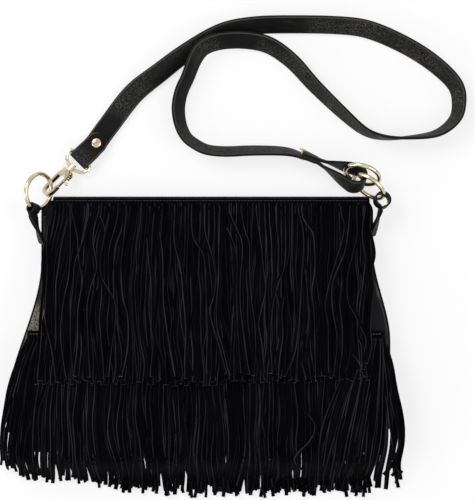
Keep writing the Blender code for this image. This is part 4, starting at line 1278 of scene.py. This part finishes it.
def rivet_piece(name, node, material, sides=40):
    """A domed rivet head on each face, on the line of the plain rivet that it replaces."""
    mesh = bpy.data.objects[node].data
    points = [vertex.co.copy() for vertex in mesh.vertices]
    centre = sum(points, Vector()) / len(points)
    axis = max(mesh.polygons, key=lambda polygon: polygon.area).normal.copy()
    if axis.z < 0.0:
        axis = -axis
    reach = max((point - centre).dot(axis) for point in points)
    radius = max((point - centre - axis * (point - centre).dot(axis)).length for point in points)
    turn = UP.rotation_difference(axis).to_matrix()
    circles = []
    for face in (1.0, -1.0):
        for out, height in RIVET_PROFILE:
            circles.append((radius * out, face * (reach - RIVET_DOME + RIVET_DOME * (height + 1.0) * 0.55)))
    for face in (-1.0, 1.0):
        circles.append((RIVET_SHANK_R, face * (reach - RIVET_SHANK_SINK)))
    vertices = []
    for out, height in circles:
        for side in range(sides):
            lean = 2.0 * pi * side / sides
            flat = Vector((cos(lean), sin(lean), 0.0)) * out
            vertices.append(centre + turn @ (flat + UP * height))
    faces = []
    head = len(RIVET_PROFILE)
    for first, rows in ((0, head), (head, head), (2 * head, 2)):
        faces += ring_faces(first * sides, rows, sides)
    return add_mesh(name, vertices, faces, [material])


# Light, floor and camera

def area_light(name, location, size, power):
    lamp = bpy.data.lights.new(name, "AREA")
    lamp.shape = "RECTANGLE"
    lamp.size, lamp.size_y = size
    lamp.energy = power
    obj = bpy.data.objects.new(name, lamp)
    obj.location = location
    obj.rotation_euler = (LIGHT_TARGET - Vector(location)).to_track_quat("-Z", "Y").to_euler()
    bpy.context.scene.collection.objects.link(obj)


def seen_share(tree):
    """1 for rays that show the background: camera, glossy and transmission rays."""
    paths = tree.nodes.new("ShaderNodeLightPath")
    shown = paths.outputs["Is Camera Ray"]
    for name in ("Is Glossy Ray", "Is Transmission Ray"):
        node = tree.nodes.new("ShaderNodeMath")
        node.operation = "MAXIMUM"
        tree.links.new(shown, node.inputs[0])
        tree.links.new(paths.outputs[name], node.inputs[1])
        shown = node.outputs[0]
    return shown


def floor_material():
    """Pale floor that shows nearly white and still takes the bag's shadow."""
    nodes = Nodes("pale_floor")
    nodes.set(Base_Color=(0.86, 0.86, 0.86), Roughness=0.9)
    glow = nodes.add("Emission", {"Strength": 1.0}).outputs[0]
    share = nodes.math("MULTIPLY", seen_share(nodes.tree), FLOOR_GLOW)
    mixed = nodes.add("MixShader", {0: share, 1: nodes.shader.outputs[0], 2: glow})
    nodes.feed(nodes.tree.nodes["Material Output"], {"Surface": mixed.outputs[0]})
    return nodes.material


def stage_scene():
    scene = bpy.context.scene
    scene.view_settings.view_transform = "Standard"
    corners = [(x * FLOOR_HALF, y * FLOOR_HALF, 0.0) for x, y in ((-1, -1), (1, -1), (1, 1), (-1, 1))]
    floor = add_mesh("floor", corners, [(0, 1, 2, 3)], [floor_material()])
    world = bpy.data.worlds.new("studio")
    world.use_nodes = True
    tree = world.node_tree
    background = tree.nodes["Background"]
    background.inputs["Color"].default_value = (1.0, 1.0, 1.0, 1.0)
    strength = tree.nodes.new("ShaderNodeMapRange")
    strength.inputs["To Min"].default_value = WORLD_LIGHT
    strength.inputs["To Max"].default_value = 1.0
    tree.links.new(seen_share(tree), strength.inputs["Value"])
    tree.links.new(strength.outputs["Result"], background.inputs["Strength"])
    scene.world = world
    for light in LIGHTS:
        area_light(*light)
    x, y = from_pixel(PHOTO_WIDTH / 2, PHOTO_HEIGHT / 2)
    lens = bpy.data.cameras.new("camera")
    lens.sensor_fit = "VERTICAL"
    lens.sensor_height = SENSOR
    lens.lens = SENSOR * (CAMERA_HEIGHT - FOCUS_HEIGHT) / (PHOTO_HEIGHT * PIXEL)
    camera = bpy.data.objects.new("camera", lens)
    camera.location = (x, y, CAMERA_HEIGHT)
    scene.collection.objects.link(camera)
    scene.camera = camera


def main():
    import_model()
    stage_scene()

    nap_dark = (0.0006, 0.0006, 0.0009)
    cut_pale = (0.14, 0.14, 0.145)
    # The strands' edge colour is the pale cut edge together with its painted highlight
    suede = suede_material("black_suede", nap_dark, (0.0022, 0.0021, 0.003), (0.04, 0.039, 0.045))
    cut_end = suede_material("suede_cut_end", (0.05, 0.05, 0.052), cut_pale, cut_pale)
    band_suede = suede_material("band_suede", nap_dark, (0.0025, 0.0024, 0.0032), (0.006, 0.006, 0.007))
    # Its pale brown-grey serves for worn spots and for the painted highlight beside the fringe
    leather = leather_material("black_leather", (0.005, 0.005, 0.006), (0.23, 0.205, 0.165), 0.68, 0.46)
    tab_leather = leather_material("tab_leather", (0.007, 0.007, 0.007), (0.12, 0.115, 0.105),
                                   0.62, 0.36, 1100.0)
    strap_leather = strap_material()
    gold = metal_material()
    dark_thread = thread_material("dark_thread", (0.006, 0.006, 0.007), (0.02, 0.02, 0.022))
    worn_thread = thread_material("worn_thread", (0.03, 0.03, 0.03), (0.11, 0.11, 0.105))

    back = panel_piece("back_panel_leather", TOP_Y, 0.0, lambda x, y: PANEL_T / 2, leather, 60, 50)
    finish_piece(back, "bag", ["back_panel"])
    front = panel_piece("front_panel_leather", TOP_Y - FRONT_TOP_DROP, FRONT_INSET,
                        lambda x, y: front_z(x, y) + slump(x, y, 0), leather, 130, 110, painted_highlight_share)
    finish_piece(front, "bag", ["front_panel"])
    for side, word in ((-1, "left"), (1, "right")):
        gusset = side_gusset_piece(f"side_gusset_{word}_leather", side, leather)
        finish_piece(gusset, "bag", [f"side_gusset_{word}"])
    finish_piece(bottom_gusset_piece(leather), "bag", ["bottom_gusset"])
    finish_piece(flap_piece(leather), "bag", ["flap"])

    finish_piece(upper_band_piece(band_suede), "bag")
    finish_piece(upper_fringe_piece([suede, cut_end]), "bag", ["upper_fringe"])
    finish_piece(lower_band_piece(band_suede), "bag")
    finish_piece(lower_fringe_piece([suede, cut_end]), "bag", ["lower_fringe"])
    finish_piece(swept_strands_piece([suede, cut_end]), "bag")
    finish_piece(upper_stitches(dark_thread), "bag")
    finish_piece(lower_stitches(worn_thread), "bag")

    for name, ring in (("left_ring", LEFT_RING), ("right_ring", RIGHT_RING), ("strap_ring", STRAP_RING)):
        finish_piece(ring.build(f"{name}_wire", gold), name, [name])
    left_line = tab_line(-1, LEFT_TAB_ROOT_Y, LEFT_RING, LEFT_TAB_ANGLE, LEFT_TAB_BORE)
    finish_piece(tab_piece("left_tab_leather", left_line, tab_leather), "bag", ["left_tab"])
    right_line = tab_line(1, RIGHT_TAB_ROOT_Y, RIGHT_RING, 0.0, RIGHT_TAB_BORE)
    finish_piece(tab_piece("right_tab_leather", right_line, tab_leather), "bag", ["right_tab"])

    finish_piece(strap_piece(strap_leather), "bag", ["strap"])
    for word in ("left", "right"):
        rivet = rivet_piece(f"domed_rivet_{word}", f"strap_rivet_{word}", gold)
        finish_piece(rivet, "bag", [f"strap_rivet_{word}"])
    for node in ("clip_eye", "clip_hook", "clip_trigger", "clip_trigger_pin", "snap_socket", "snap_stud"):
        mesh = bpy.data.objects[node].data
        mesh.materials.clear()
        mesh.materials.append(gold)


main()
